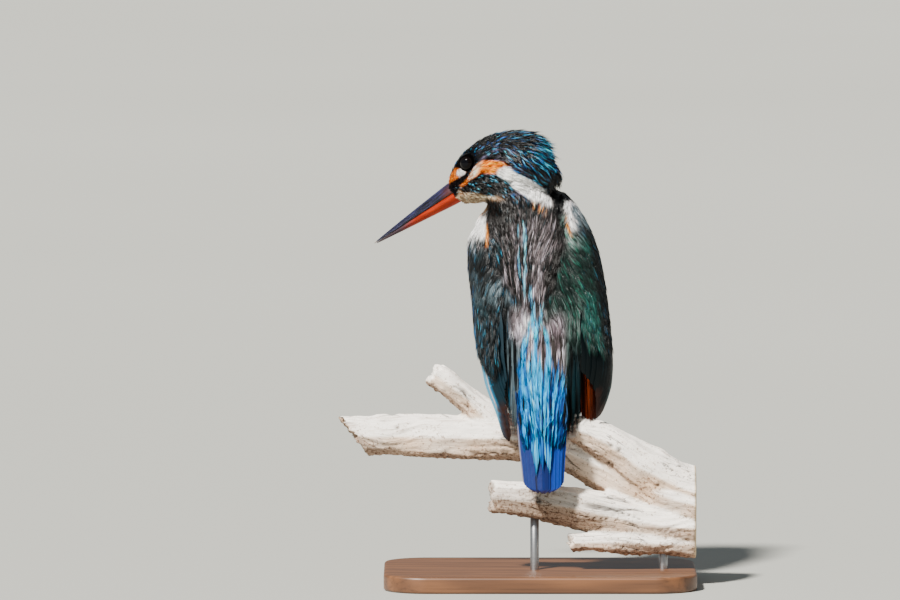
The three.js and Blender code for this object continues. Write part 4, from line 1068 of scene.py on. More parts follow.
# A plume falls from its top to its end, draws in to its aim and bows back by half a sine.
def growFlanks():
    v = np.linspace(0, 1, 8)[None]
    finish = featherFinish("flankPlumage", 0.6, 0.0, 0.1, 0.3)
    for name, (hand, wide, deep, tops, foot, aim, worn) in flanks.items():
        count = 40
        x, y = dice.uniform(*wide, (count, 1)), dice.uniform(*deep, (count, 1))
        top = dice.uniform(*tops, (count, 1))
        end = foot(x) + dice.uniform(0, 5, (count, 1))
        line = joined(hand * (x + (aim - x) * 0.2 * v ** 1.5), y - 1.5 * np.sin(np.pi * v), top + (end - top) * v)
        side = np.broadcast_to(unit(np.array([1.0, 0.5 * hand, 0.0])), line.shape)
        lift = np.broadcast_to(unit(np.array([0.5 * hand, -1.0, 0.0])), line.shape)
        slot = "belly_feathers" if worn is shadedRustColours else "back_feathers"
        growFeathers(name + "Feathers", slot, finish, line[:, 0],
                     dict(length=18, width=1.4, fine=0.16, rise=0.0, root=0.0, gather=0.9, depth=0.3),
                     path=(line, side, lift), barbs=9, segments=5, contrast=0.2, worn=worn)


# The coverts over each folded wing: the shoulder's, and the longer ones below down to the blades' roots.
def growWings():
    finish = featherFinish("wingPlumage", 0.4)
    p, part = rootsOver(1.6)
    for name, node, side, edge, drop in (("leftWing", "wing_left", 1.0, 18.6, 7),
                                         ("rightWing", "wing_right", 0.0, 20.5, 0)):
        here = part == node
        z = p[:, 2]
        out = np.abs(p[:, 0] - 0.4) - edge
        ends = 82 + 7 * smooth(out, -4, 2.5) - drop * (1 - smooth(out, -5, -1))
        for portion, pick in (("Shoulder", z > 108), ("Covert", (z <= 108) & (z > ends))):
            growFeathers(name + portion + "Feathers", "wing_feathers", finish, p[here & pick],
                         dict(length=8.0, width=1.1, fine=0.14, rise=0.55, gather=0.8, swing=0.05), barbs=9,
                         wing=1.0, side=side, contrast=0.3, mingled=0.4, tipFrom=0.5)


growHead()
growBody()
growFlanks()
growWings()
print("small feathers grown")


bladeAcross = np.array([-1, -0.96, -0.6, -0.3, -0.08, 0, 0.08, 0.3, 0.6, 0.96, 1])


# Long stiff feathers. Each is a closed blade on its own centre line: cupped across, with a shaft that
# stands up along the middle and thins to the tip, and an end that rounds over the last of its length.
def bladePiece(name, finish, line, side, lift, half, colour, tipRound=0.12, cup=0.12, thick=0.22, shaftRise=0.06):
    count, rows = line.shape[:2]
    v = np.linspace(0, 1, rows)
    width = half[:, None] * np.interp(v, [0, 0.25, 1], [0.55, 1, 0.92])
    width = width * np.sqrt(np.clip(1 - np.clip((v - 1 + tipRound) / tipRound, 0, 1) ** 2.4, 0.0015, 1))
    u = np.concatenate([bladeAcross, bladeAcross[-2:0:-1]])
    under = np.concatenate([np.zeros(len(bladeAcross)), np.ones(len(bladeAcross) - 2)])
    shaft = np.exp(-(u / 0.07) ** 2) * shaftRise
    height = (-cup * u ** 2 * half[:, None, None] + (1 - under) * shaft * (1 - 0.75 * v[:, None])
              - under * thick * (1 - np.abs(u)) ** 0.4 * (1 - 0.6 * v[:, None]))
    ring = (line[:, :, None] + side[:, :, None] * (width[..., None] * u)[..., None]
            + lift[:, :, None] * height[..., None])
    paint = colour(u[None, None], v[None, :, None], np.arange(count)[:, None, None], under[None, None])
    paint = opaque(np.broadcast_to(paint, ring.shape))
    vane = joined(u[None, None], v[None, :, None], dice.random(count)[:, None, None])
    cells = int(np.ceil(np.sqrt(count)))
    cell = joined(np.arange(count) % cells, np.arange(count) // cells)[:, None, None]
    inCell = joined(0.5 + 0.42 * u[None, None] * (1 - 0.5 * under), 0.05 + 0.9 * v[None, :, None])
    bake = (cell + np.broadcast_to(inCell, ring.shape[:3] + (2,))) / cells
    return recalculated(makePiece(name, ring.reshape(-1, 3), gridCopies(count, rows, len(u)), finish,
                                  {"plumage": paint.reshape(-1, 4), "vane": vane.reshape(-1, 3)},
                                  bake.reshape(-1, 2)))


def shaded(base, name, share):  # the base blended to a colour by a share that is spread over all of it
    return blend(base, tone(name), np.broadcast_to(share, base.shape[:-1]))


def bladeFinish(name, roughness=0.38, gloss=0.3):  # slanting barbs either side of the shaft, with a soft gloss
    finish = Finish(name, Specular_IOR_Level=gloss)
    across, along, luck = finish.parts(finish.read("vane"))
    off = across.absolute()
    slant = along * 30.0 - off * 3.0
    barb = (slant * 12.0).sine()
    place = finish.join(slant, off * 1.5, luck * 31.0)
    streak = finish.grain(place, 1.4, 3.0)
    base = finish.read("plumage", "Color")
    deep = finish.tint(base, (0.55, 0.55, 0.6))
    finish.put(Base_Color=finish.mix(streak.ramp(0.35, 0.7) * 0.55, base, deep))
    finish.put(Roughness=streak * 0.25 + (roughness - 0.12))
    finish.put(Normal=finish.bump(barb * 0.4 + streak, 0.05, 0.5))
    return finish.material


# darkEdges weights, by feather, the painted shade along the edges where the feathers overlap
tailPlan = {"root": (0.6, -15.4, 73), "lean": 14, "length": 39.0, "half": 2.6,
            "places": [0.35, 2.0, 3.3, 4.2, 4.85, 5.35], "layer": 0.2,
            "darkEdges": np.array([1, 0.95, 0.05, 0.05, 0.05, 0.05, 0.1, 0.05, 0.05, 0.95, 0.05, 0.05])}
tailLean = math.radians(tailPlan["lean"])
tailDown = np.array([0, -math.sin(tailLean), -math.cos(tailLean)])
tailOut = np.array([0, -math.cos(tailLean), math.sin(tailLean)])
tailSide = np.array([1.0, -0.0194, 0.0048])


def onTail(across, down, out):  # a point by its place on the tail
    across, down, out = np.broadcast_arrays(across, down, out)
    return (np.array(tailPlan["root"]) + across[..., None] * tailSide + down[..., None] * tailDown
            + out[..., None] * tailOut)


# Tail feathers lie in pairs, each pair a little further out and further under than the last.
def addTail():
    t = tailPlan
    pair = np.repeat(np.arange(len(t["places"])), 2)
    hand = np.tile([-1, 1], len(t["places"]))
    rows = 22
    v = np.linspace(0, 1, rows)[None]
    length = t["length"] - 0.08 * pair ** 2 - 0.2 * pair
    down = 6 + (length - 6)[:, None] * v
    across = hand[:, None] * np.repeat(t["places"], 2)[:, None] * (1.28 - 0.26 * smooth(v, 0.25, 1.05)) + 0.55 * v ** 2
    line = onTail(across, down, (-t["layer"] * pair - 0.16 - 0.05 * (hand > 0))[:, None] + 0.5 * v ** 2 - 0.3)
    splay = 0.012 * hand[:, None] * (pair[:, None] + 1)
    side = np.broadcast_to(unit(tailSide + splay * -tailOut)[:, None], line.shape)
    lift = np.broadcast_to(unit(tailOut + splay * tailSide)[:, None], line.shape)

    def colour(u, v, k, under):  # by place across and along, by feather, and on the upper or under side
        outer = u * np.where(hand[k] > 0, 1, -1)  # 1 at the edge away from the middle
        whole = np.broadcast_shapes(u.shape, v.shape, k.shape)
        base = shaded(np.broadcast_to(tone("tailBase"), whole + (3,)), "tailVane", smooth(outer, -0.7, 0.5))
        # the left-hand feathers are darkened to 0.55: painted shade on that half of the tail
        base = shaded(base, "tailGlow", smooth(outer, 0.7, 0.9) * 0.25) * np.where(hand[k] > 0, 1, 0.55)[..., None]
        # dark lines along the edges: painted shade where the feathers overlap
        base = shaded(base, "tailEdge", smooth(outer, 0.86, 0.93) * t["darkEdges"][k])
        base = shaded(base, "tailShaft", np.exp(-(u / 0.06) ** 2) * 0.15)
        base = shaded(base, "tailEnd", smooth(v, 0.975, 0.995) * 0.8)
        base = shaded(base, "tailPale", (k == 10) * smooth(outer, 0.4, 0.9) * 0.6)
        return shaded(base, "tailUnder", under * 0.85)

    half = t["half"] - 0.09 * pair
    tail = bladePiece("tailFeathers", bladeFinish("tailBarbs", 0.45, 0.11), line, side, lift, half,
                      colour, 0.08, 0.0, 0.12, 0.012)
    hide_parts("tail")


addTail()


# Each wing's flank by height: its middle across and deep, its half width, and its depth to the front and
# back. The pad is how far the blades stand out by height; turns are those of the first and last tips;
# the gloss fades by its share from the first blade to the last.
# the right wing's darker colours, its weaker rim and its faster fading gloss are painted shade of its shaded side
wingPlans = {
    "right": {"hand": 1, "tip": 61.2, "turns": (38, 84), "highest": 80, "fading": 0.6, "rim": 0.4,
              "pad": ([60, 66, 73, 80, 85, 90, 102], [-0.3, 0.2, 1.6, 2.5, 2.5, 1.7, 0.6]), "flank": [
        [56, 0, -8, 20.6, 5, 5], [60, 0, -7.5, 21.4, 6, 6], [66, 0, -6, 23.8, 8, 8.5], [72, 0, -4, 24.8, 11, 10.5],
        [80, 0, -1.5, 24.6, 15, 13], [92, 0, 3, 23, 22, 16], [105, 0, 7, 20.9, 26, 17.4],
        [118, 0, 10, 18.9, 26, 17.5]]},
    "left": {"hand": -1, "tip": 52.9, "turns": (42, 68), "highest": 77, "fading": 0.1, "rim": 1,
             "pad": ([52, 58, 62, 68, 74, 80, 85, 90, 102], [-0.8, 0.0, 0.5, 1.4, 2.0, 2.2, 2.2, 1.5, 0.5]), "flank": [
        [48, 0, -10.5, 12.6, 3, 3], [51, 0, -10, 13.2, 3, 3.4], [58, 0, -9, 14.6, 4.5, 5.5], [66, 0, -7, 16.4, 7, 8],
        [72, 0, -4.5, 18.2, 11, 10.5], [80, 0, -1.5, 19.6, 15, 13], [92, 0, 3, 20.8, 22, 16],
        [105, 0, 7, 21.5, 26, 17.4], [118, -2, 10, 21, 26, 17.5]]},
}


def onFlank(plan, height, turn, out):  # a point of a folded wing by its height and its turn from the back
    x, y, half, front, back = stations(plan["flank"], height)
    depth = np.where(np.cos(turn) > 0, back, front)
    squared = lambda value: np.sign(value) * np.abs(value) ** 0.86
    return joined(x + plan["hand"] * (half + out) * squared(np.sin(turn)),
                  y - (depth + out) * squared(np.cos(turn)), height)


flight = {"blades": 12, "rows": 26, "root": 102, "rootTurns": (44, 58), "halves": (2.7, 2.1)}


# Folded flight feathers: the innermost lies on top and ends highest, the outermost lies lowest and
# forms the wing's front edge, and all of them close in to the wing's tip.
def addFlight():
    finish = bladeFinish("flightBarbs", 0.45, 0.12)
    for name, plan in wingPlans.items():
        share = np.linspace(0, 1, flight["blades"])[:, None]
        v = np.linspace(0, 1, flight["rows"])[None]
        tip = plan["highest"] + (plan["tip"] - plan["highest"]) * smooth(share, -0.25, 0.8)
        tip = tip + 4.5 * smooth(share, 0.8, 1.0)
        height = flight["root"] + (tip - flight["root"]) * v
        rootTurn = flight["rootTurns"][0] + flight["rootTurns"][1] * share
        tipTurn = plan["turns"][0] + (plan["turns"][1] - plan["turns"][0]) * share
        turn = np.radians(rootTurn + (tipTurn - rootTurn) * v ** 1.3)
        edge = 0.35 + 0.65 * smooth(turn, 0.66, 0.94) * (1 - smooth(turn, 1.68, 1.92))
        out = np.interp(height, *plan["pad"]) * edge + 0.2 - 0.65 * share
        line = onFlank(plan, height, turn, out)
        beside = onFlank(plan, height, turn + 0.06, out)
        above = onFlank(plan, height, turn, out + 0.5)
        tangent = unit(np.gradient(line, axis=1))
        side = square(beside - line, tangent)
        lift = np.cross(side, tangent)
        lift = lift * np.sign((lift * (above - line)).sum(-1, keepdims=True))
        half = np.linspace(*flight["halves"], len(share))

        def colour(u, v, k, under, name=name, plan=plan):  # the leading vane faces the wing's front edge
            whole = np.broadcast_shapes(u.shape, v.shape, k.shape)
            share = k / (flight["blades"] - 1)
            # the right wing's colours are darker than the left's: painted shade
            base = np.broadcast_to(tone(name + "Vane"), whole + (3,))
            base = shaded(base, name + "Gloss", smooth(u, -0.2, 0.7) * (0.85 - plan["fading"] * share))
            base = shaded(base, name + "Rim", smooth(u, 0.84, 0.97) * np.where(k < 9, 0.75, 0.2) * plan["rim"])
            # a pale edge on some left-hand blades only: painted highlight along their lit edges
            pale = 0.9 * (k == 4) * smooth(v, 0.45, 0.6) + 0.8 * (k >= 9)
            base = shaded(base, "flightPale", smooth(u, 0.86, 0.96) * pale * (plan["hand"] < 0))
            base = shaded(base, "black", np.exp(-(u / 0.1) ** 2) * 0.8)
            base = shaded(base, "flightEnd", smooth(v, 0.84, 0.93) * 0.9 * (share > 0.35))
            return shaded(base, "flightUnder", under * 0.8)

        wing = bladePiece(f"flightFeathers_{name}", finish, line, side, lift, half, colour,
                          0.10, 0.1)
        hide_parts(f"primaries_{name}")


addFlight()


# The longest coverts lie over the roots of the flight feathers and end along a slanting line.
def addLongCoverts():
    finish = featherFinish("longCoverts", 0.42, 0.0, 0.3)
    for name, count, turns, ends in (("left", 120, (36, 88), ([38, 49, 60, 77, 90], [73.5, 74, 76, 83, 89])),
                                     ("right", 84, (34, 64), ([33, 50, 64], [84, 80.8, 82.5]))):
        plan = wingPlans[name]
        place = dice.uniform(*turns, (count, 1))
        v = np.linspace(0, 1, 7)[None]
        tip = np.interp(place, *ends) + 15 * dice.random((count, 1)) ** 1.2
        height = tip + 8.5 * (1 - v)
        turn = np.radians(place + 3 * (1 - v))
        out = np.interp(height, *plan["pad"]) + 0.5 + 0.25 * dice.random((count, 1))
        line = onFlank(plan, height, turn, out)
        lift = unit(onFlank(plan, height, turn, out + 0.5) - line)
        side = unit(np.cross(lift, np.gradient(line, axis=1)))
        growFeathers(name + "LongCoverts", "wing_feathers", finish, line[:, 0],
                     dict(length=8.5, width=1.2, fine=0.14, rise=0.35, root=-0.3, gather=0.8),
                     path=(line, side, lift), barbs=9, wing=1.0, side=1.0 * (name == "left"),
                     contrast=0.3, mingled=0.4, tipFrom=0.5)


addLongCoverts()


# Where the longest plumes end: across, down the tail, and their length.
plumeTips = [(-7.0, 17, 13), (-5.3, 21.3, 15), (-3.9, 25.3, 16), (-2.2, 33.6, 21), (-3.0, 29.5, 18), (0.1, 32.0, 19),
             (-0.6, 28.5, 17), (2.6, 33.4, 21), (1.6, 29.5, 18), (4.3, 22, 14), (5.8, 19.8, 13), (7.4, 20.9, 13),
             (-7.6, 14.5, 11), (-1.3, 25, 15), (1.0, 25.5, 15), (-4.8, 18, 13), (2.9, 24, 15), (5.3, 16, 12)]


# The longest plumes of the rump run down over the middle of the tail and end in points.
def addTailPlumes():
    across, end, length = np.array(plumeTips).T
    v = np.linspace(0, 1, 7)[None]
    down = (end - length)[:, None] + length[:, None] * v
    aside = across[:, None] * (0.85 + 0.15 * v)
    line = onTail(aside, down, 1.35 - 1.05 * v + 0.3 * np.sin(np.pi * v) + 0.25 * dice.random((len(across), 1)))
    side = np.broadcast_to(tailSide, line.shape)
    lift = np.broadcast_to(tailOut, line.shape)
    growFeathers("tailPlumes", "rump_feathers", featherFinish("plumeBarbs", 0.55, 0.0, 0.12, 0.3), line[:, 0],
                 dict(length=length, width=1.3, fine=0.14, rise=0.1, root=0.0, gather=0.97, depth=0.35),
                 path=(line, side, lift), barbs=14, segments=7, contrast=0.2, mingled=0.25, wild=0.2)


addTailPlumes()
print("flight and tail feathers made")
print("coat:", tally["coat"], "triangles")


def eyeFrame(hand):  # middle of an eye, and its outward, upward and forward directions
    out = unit(0.10 * headForward + 0.985 * hand * headLeft + 0.10 * headUp)
    up = unit(headUp - (headUp @ out) * out)
    return fromHead(eyes["back"], hand * eyes["out"], eyes["up"]), out, up, np.cross(up, out)


# Out from the opening's edge, in shares of its radius, and how high the lid stands over the ball there.
lidProfile = [(0.96, -0.30), (1.0, 0.0), (1.025, 0.08), (1.06, 0.12), (1.12, 0.10), (1.22, 0.06), (1.34, 0.05),
              (1.46, 0.06), (1.5, -1.0)]


# An eye is a ball with a slightly raised cornea; its plate attribute is the angle from its axis.
def addEyes():
    finish = Finish("eyeGloss", Roughness=0.05, Specular_IOR_Level=0.11)
    angle, _, _ = finish.parts(finish.read("plate"))
    grain = finish.grain(finish.place(), 1400.0, 3.0)
    iris = finish.mix(grain, ink("040202"), ink("0a0504"))
    finish.put(Base_Color=finish.mix(angle.ramp(0.36, 0.40), (0.002, 0.002, 0.003),
                                        finish.mix(angle.ramp(0.66, 0.74), iris, (0.004, 0.003, 0.003))))
    lids = Finish("lidSkin", Roughness=1.0, Specular_IOR_Level=0.0)
    crease = lids.grain(lids.place(), 2600.0, 3.0)
    lids.put(Base_Color=lids.mix(crease, ink("010101"), ink("040303")))
    lids.put(Normal=lids.bump(crease, 0.08, 0.6))
    columns = 48
    for name, hand in (("left", 1), ("right", -1)):
        middle, out, up, ahead = eyeFrame(hand)
        tilt = np.linspace(0.02, np.pi - 0.02, 40)[:, None]
        turn = circle(columns)
        radius = eyes["radius"] - 0.08 + 0.16 * (1 - smooth(tilt, 0.30, 0.72))
        course = middle + (radius * np.cos(tilt))[..., None] * out
        points, faces = tubeMesh(ringsRound(course, ahead, up, radius * np.sin(tilt), radius * np.sin(tilt), turn))
        plate = np.concatenate([np.repeat(tilt, columns), [0, np.pi]])[:, None] * xAxis
        ball = recalculated(makePiece(f"eyeball_{name}", points, faces, finish.material, {"plate": plate}))
        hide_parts(f"eye_{name}")

        # Lids: a rounded rim on the ball, a little longer than high, that runs out under the feathers.
        width, rise = np.array(lidProfile).T[:, :, None]
        reach = eyes["opening"] * width * (1 + 0.03 * np.cos(2 * turn))
        pitch = 0.03 * np.sin(17 * turn) * smooth(width, 1.0, 1.1)
        sink = np.sqrt(np.maximum(eyes["radius"] ** 2 - np.minimum(reach, 3.7) ** 2, 0)) + rise * 0.9 + pitch
        rim = ringsRound(middle + sink[..., None] * out, ahead, up, reach, reach * 0.96, turn)
        points = np.concatenate([rim, (rim - 0.25 * out)[::-1]]).reshape(-1, 3)
        first, last = np.arange(columns), np.arange(columns) + (2 * len(rim) - 1) * columns
        wrap = joined(last, np.roll(last, -1), np.roll(first, -1), first)
        recalculated(makePiece(f"lids_{name}", points, [gridFaces(2 * len(rim), columns), wrap],
                               lids.material))


addEyes()


bill = {"length": 35.8, "root": 4, "depth": 8.0, "width": 7.2, "rows": 90, "turns": 21}
mandibles = {  # hand, how much shorter than the bill, power of the taper, share of the depth
    "upper": (1, 0, 0.86, 0.54), "lower": (-1, 0.9, 0.94, 0.46)}


# A mandible is a keeled half section on straight tapers to the tip. Its flanks are a little hollow,
# with the nostril's slit near the base and shallow grooves along them.
def addBill():
    upper = Finish("darkHorn", Coat_Weight=0.15, Coat_Roughness=0.25, Specular_IOR_Level=0.35)
    along, around, _ = upper.parts(upper.read("horn"))
    streak = upper.grain(upper.join(along * 5.0, around * 26.0, 0.0), 1.0, 5.0)
    # lighter violet-blue along the top of the culmen and in streaks: painted sheen on the dark horn
    ridge = upper.mix(around.ramp(0.66, 1.0), ink("08070c"), ink("191a34"))
    body = upper.mix(streak.ramp(0.48, 0.76), ridge, ink("40407a"))
    body = upper.mix((1 - along).ramp(0.86, 1.0) * (1 - around) * 0.8, body, ink("4a211a"))
    upper.put(Base_Color=upper.mix(along.ramp(0.95, 1.0), body, ink("8d8078")))
    upper.put(Roughness=streak * 0.3 + 0.22)
    upper.put(Normal=upper.bump(streak, 0.12, 0.5))
    lower = Finish("redHorn", Coat_Weight=0.06, Coat_Roughness=0.3, Specular_IOR_Level=0.2)
    along, around, _ = lower.parts(lower.read("horn"))
    streak = lower.grain(lower.join(along * 6.0, around * 22.0, 3.0), 1.0, 5.0)
    red = lower.mix(streak.ramp(0.35, 0.72), ink("7c1500"), ink("cc3c02"))
    fade = (along + streak * 0.25 - around * 0.10).ramp(0.53, 0.80)
    lower.put(Base_Color=lower.mix(fade, red, lower.mix(streak, ink("2a1f2a"), ink("55424a"))))
    lower.put(Roughness=streak * 0.3 + 0.35)
    lower.put(Normal=lower.bump(streak, 0.1, 0.4))
    for (name, (hand, shorter, power, share)), finish in zip(mandibles.items(), (upper, lower)):
        reach = bill["length"] - shorter
        d = np.linspace(-bill["root"], reach, bill["rows"])[:, None]
        t = np.clip(d / reach, 0, 1)
        taper = (1 - t) ** power
        turn = np.linspace(0, np.pi, bill["turns"])[None]
        half = bill["width"] / 2 * taper * 0.97 + 0.2
        keel = bill["depth"] * share * taper * 0.94 + 0.28
        across = half * np.cos(turn) * (1 - 0.22 * np.sin(turn) ** 3)
        high = keel * np.sin(turn) ** 0.92
        flank = np.exp(-((turn - 0.9) / 0.3) ** 2) + np.exp(-((np.pi - turn - 0.9) / 0.3) ** 2)
        if hand > 0:
            groove = 0.14 * flank * smooth(d, -2, 4) * (1 - smooth(d, 18, 30))
            slit = (0.5 * np.exp(-((np.minimum(turn, np.pi - turn) - 0.72) / 0.13) ** 2)
                    * smooth(d, 1.4, 2.2) * (1 - smooth(d, 5.0, 6.2)))
            across = across * (1 - (groove + slit) / np.maximum(half, 0.5))
        lip = 0.12 * np.exp(-(np.minimum(turn, np.pi - turn) / 0.16) ** 2) * taper ** 0.5
        across = across * (1 + lip / np.maximum(half, 0.6) * hand)
        edge = 0.35 * (1 - t) + hand * 0.07
        fine = 0.03 * noiseOf(d * 0.35, turn * 9, float(hand), 31, 3) * (1 - 0.6 * t)
        top = fromHead(-d, across * (1 + fine / 3), edge + hand * high * (1 + fine / 4))
        under = fromHead(-d, across[:, ::-1], edge)[:, 1:-1]
        points, faces = tubeMesh(np.concatenate([top, under], 1))
        around = np.sin(turn) * np.ones_like(d)
        around = np.concatenate([around, np.zeros(under.shape[:2])], 1)
        horn = joined(t, around, 0.0).reshape(-1, 3)
        horn = np.concatenate([horn, [(0, 0, 0), (1, 0, 0)]])
        piece = recalculated(makePiece(f"{name}Mandible", points, faces, finish.material,
                                       {"horn": horn}))
        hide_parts(f"bill_{name}")


addBill()
print("eyes and bill made")


# The middle line and radius of each limb of the driftwood, from its broken end to the saw cut.
limbs = {
    "bough": [(-80, 8, 54.2, 6.9), (-52, 7, 53.8, 7.3), (-28, 6, 53.4, 7.9), (-7, 5, 53, 8.6), (11, 4, 48.5, 8.6),
              (29, 2, 40, 9.6), (45, 0, 33, 11.5), (64, -1, 28, 12.5)],
    "spur": [(12.5, -6, 57.7, 5.4), (22, -4.6, 53.6, 7.6), (36, -4, 43.6, 8.6), (50, -2, 36.7, 9.2), (64, -1, 32, 11)],
    "prong": [(-17.5, -9, 32.6, 6.2), (-2, -8.5, 31.2, 7.6), (18, -7, 27.4, 7.8), (38, -4.5, 23, 8.2),
              (64, -2, 21, 9.5)],
    "splinter": [(11, -11, 16.2, 3.4), (26, -10, 16.4, 4.1), (44, -7, 15.6, 4.8), (64, -3, 15, 6)],
    "stub": [(-38.5, 5, 77, 4.6), (-29, 5.5, 69.5, 5.2), (-19, 6, 60, 6), (-8, 6, 53, 6.4)],
}
wood = {"voxel": 0.62, "sawCut": 57, "lump": 0.55, "ridge": 0.32, "crack": 0.75, "ragged": 1.5,
        "splintersFrom": {"bough": (-68, 8, 54.2)},
        "knots": [(26.0, 51.6), (28.6, 49.6), (25.9, 43.9), (24.6, 44.5), (-52, 57), (43, 37)],
        "ends": {"bough": (-1, 0, -0.05), "prong": (-1, 0, 0.1), "splinter": (-1, 0, 0), "stub": (-0.75, 0, 0.65),
                 "spur": (-0.95, 0, 0.2)}}


# For points on the wood: the nearest limb, the distance along it, and the turn round it.
def alongLimbs(p):
    best = np.full(len(p), 1e9)
    run, angle, girth, which = (np.zeros(len(p)) for _ in range(4))
    for index, course in enumerate(limbs.values()):
        course = np.array(course, float)
        reached = 0.0
        for a, b in zip(course[:-1], course[1:]):
            step = b[:3] - a[:3]
            size = np.linalg.norm(step)
            t = np.clip(((p - a[:3]) @ step) / size ** 2, 0, 1)
            off = p - a[:3] - t[:, None] * step
            radius = a[3] + (b[3] - a[3]) * t
            away = np.linalg.norm(off, axis=1) / radius
            ahead = step / size
            side = unit(np.cross(ahead, (0, 1, 0)))
            turn = np.arctan2(off @ np.cross(ahead, side), off @ side)
            nearer = away < best
            best = np.where(nearer, away, best)
            run, angle = np.where(nearer, reached + t * size, run), np.where(nearer, turn, angle)
            girth, which = np.where(nearer, radius, girth), np.where(nearer, index, which)
            reached += size
    return run, angle, girth, which


# Grain lines along each limb, specks, and two sets of splits where stretched noise crosses its middle.
def woodFinish():
    finish = Finish("bleachedWood", Roughness=0.8, Specular_IOR_Level=0.25)
    along, first, second = finish.parts(finish.read("grain"))
    place = finish.join(along * 0.12, first * 1.4, second * 1.4)
    lines = finish.grain(place, 1.5, 6.0, 0.65)
    # the attribute's first part is an amount of painted shade, greatest on the undersides, the flanks and the shadowed
    # prong
    under, cracked, _ = finish.parts(finish.read("age"))
    specks = finish.grain(finish.place(), 900.0, 4.0, 0.7)
    split = finish.join(along * 0.05, first * 0.42, second * 0.42)
    split = (finish.grain(split, 1.0, 2.0, 0.35) - 0.5).absolute()
    split = (1 - split.ramp(0.0, 0.010)) * (cracked * 0.8 + 0.15)
    checks = finish.join(along * 0.45, first * 0.7, second * 0.7)
    checks = (finish.grain(checks, 1.0, 3.0, 0.5) - 0.5).absolute()
    # with that painted shade, fine checks open, the grain lines darken and more dark specks gather
    split = split + (1 - checks.ramp(0.0, 0.012)) * cracked * under * 0.8
    base = finish.read("paint", "Color")
    base = finish.mix(lines.ramp(0.50, 0.70) * (under * 0.6 + 0.3), base,
                      finish.tint(base, (0.55, 0.40, 0.30)))
    base = finish.mix((specks + under * 0.10).ramp(0.60, 0.68) * 0.8, base,
                      finish.tint(base, (0.30, 0.22, 0.17)))
    finish.put(Base_Color=finish.mix(split, base, ink("1c120c")))
    finish.put(Roughness=lines * 0.25 + 0.68)
    finish.put(Normal=finish.bump(lines + specks * 0.5 - split * 0.8, 0.35, 0.8))
    return finish


# Weathered wood: slow lumps, ridges of grain that run along each limb and wander, cracks where a
# second such pattern crosses zero, and broken ends drawn out into splinters along the grain.
def addPerch():
    points, faces, normals = moulded(["perch"], 0.0, wood["voxel"], 5)
    run, turn, girth, which = alongLimbs(points)
    ring = joined(np.cos(turn), np.sin(turn)) * girth[:, None]
    wander = 1.6 * noise(points / 14, 3)
    sawn = smooth(points[:, 0], wood["sawCut"] - 0.9, wood["sawCut"] - 0.3)
    ridges = noiseOf(run * 0.088, ring[:, 0] * 0.88 + wander * 1.6, ring[:, 1] * 0.88 + which * 11.2, 41, 3)
    lumps = rough(points / 9, 51, 2)
    field = noiseOf(run * 0.045, ring[:, 0] * 0.30 + wander * 0.8, ring[:, 1] * 0.30 + which * 5, 61)
    where = smooth(noise(points / 11, 71), -0.1, 0.35)
    crack = (1 - smooth(np.abs(field), 0.0, 0.06)) * where
    below = smooth(-normals[:, 2], 0.15, 0.75)
    pitted = rough(points / 1.3, 81, 2)
    knots = np.array(wood["knots"], float)
    toKnot = np.linalg.norm(points[:, None, [0, 2]] - knots, axis=-1).min(1) + 9 * (normals[:, 1] > -0.2)
    knot = np.exp(-(toKnot / 0.6) ** 2)
    push = (wood["lump"] * lumps + wood["ridge"] * ridges - wood["crack"] * crack + 0.4 * below * pitted
            - 0.9 * knot + 0.12 * np.exp(-((toKnot - 1.5) / 0.7) ** 2))
    moved = points + normals * (push * (1 - sawn))[:, None]
    for index, (name, course) in enumerate(limbs.items()):
        first = np.array(wood["splintersFrom"].get(name, course[0][:3]), float)
        way = unit(np.array(wood["ends"][name], float))
        near = (which == index) * smooth((points - first) @ way, -3.5, 0.5)
        near = near * (np.linalg.norm(points - first, axis=1) < 14)
        teeth = noiseOf(ring[:, 0] * 0.55, ring[:, 1] * 0.55, index * 9.0, 91, 3)
        moved = moved + near[:, None] * (wood["ragged"] * teeth)[:, None] * way

    shade = rough(points / 12, 95, 3)
    # pale on top and browner underneath, set by the normal: painted light on the tops and painted shade beneath
    top = smooth(normals[:, 2], -0.25, 0.35)
    pale, warm, brown, dark = ink("fbf5ec"), ink("d8b99b"), ink("86644b"), ink("20140e")
    colour = blend(np.broadcast_to(warm, points.shape), pale, np.clip(0.30 + 0.85 * top + 0.25 * shade, 0, 1))
    colour = blend(colour, brown, below * np.clip(0.55 + 0.4 * shade, 0, 1))
    # greyer brown over the prong: painted shadow of the bough and the bird above it
    lower = (which == list(limbs).index("prong")) * smooth(14 - points[:, 0], -20, 16)
    lower = lower * (1 - smooth(normals[:, 2], 0.35, 0.8))
    colour = blend(colour, ink("85705f"), 0.65 * lower)
    colour = blend(colour, brown, 0.45 * smooth(ridges, 0.5, 1.1))
    colour = blend(colour, dark, np.clip(0.9 * crack + 0.85 * knot, 0, 1) * (1 - sawn))
    # dark pits on the undersides only: painted shade
    colour = blend(colour, dark, 0.7 * smooth(pitted, 0.6, 1.0) * below)
    colour = blend(colour, ink("e2c79d"), 0.8 * sawn)
    grain = joined(run, ring[:, 0] + wander, ring[:, 1] + which * 13)
    # the flanks, with the undersides and the prong, get the most painted shade in the finish, beside the crack places
    # and the saw cut
    side = smooth(normals[:, 2], -0.7, -0.1) * (1 - smooth(normals[:, 2], 0.1, 0.55))
    side = side * smooth(noise(points / 8, 77), -0.5, 0.4)
    age = joined(np.clip(0.1 + below + 0.5 * lower + 0.75 * side, 0, 1) * (1 - sawn), where * (1 - sawn), sawn)

    finish = woodFinish()
    perch = makePiece("driftwood", moved, faces, finish.material,
                      {"paint": opaque(colour), "grain": grain, "age": age})
    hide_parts("perch")
    return Surface(moved, faces)


woodSurface = addPerch()
print("perch made")


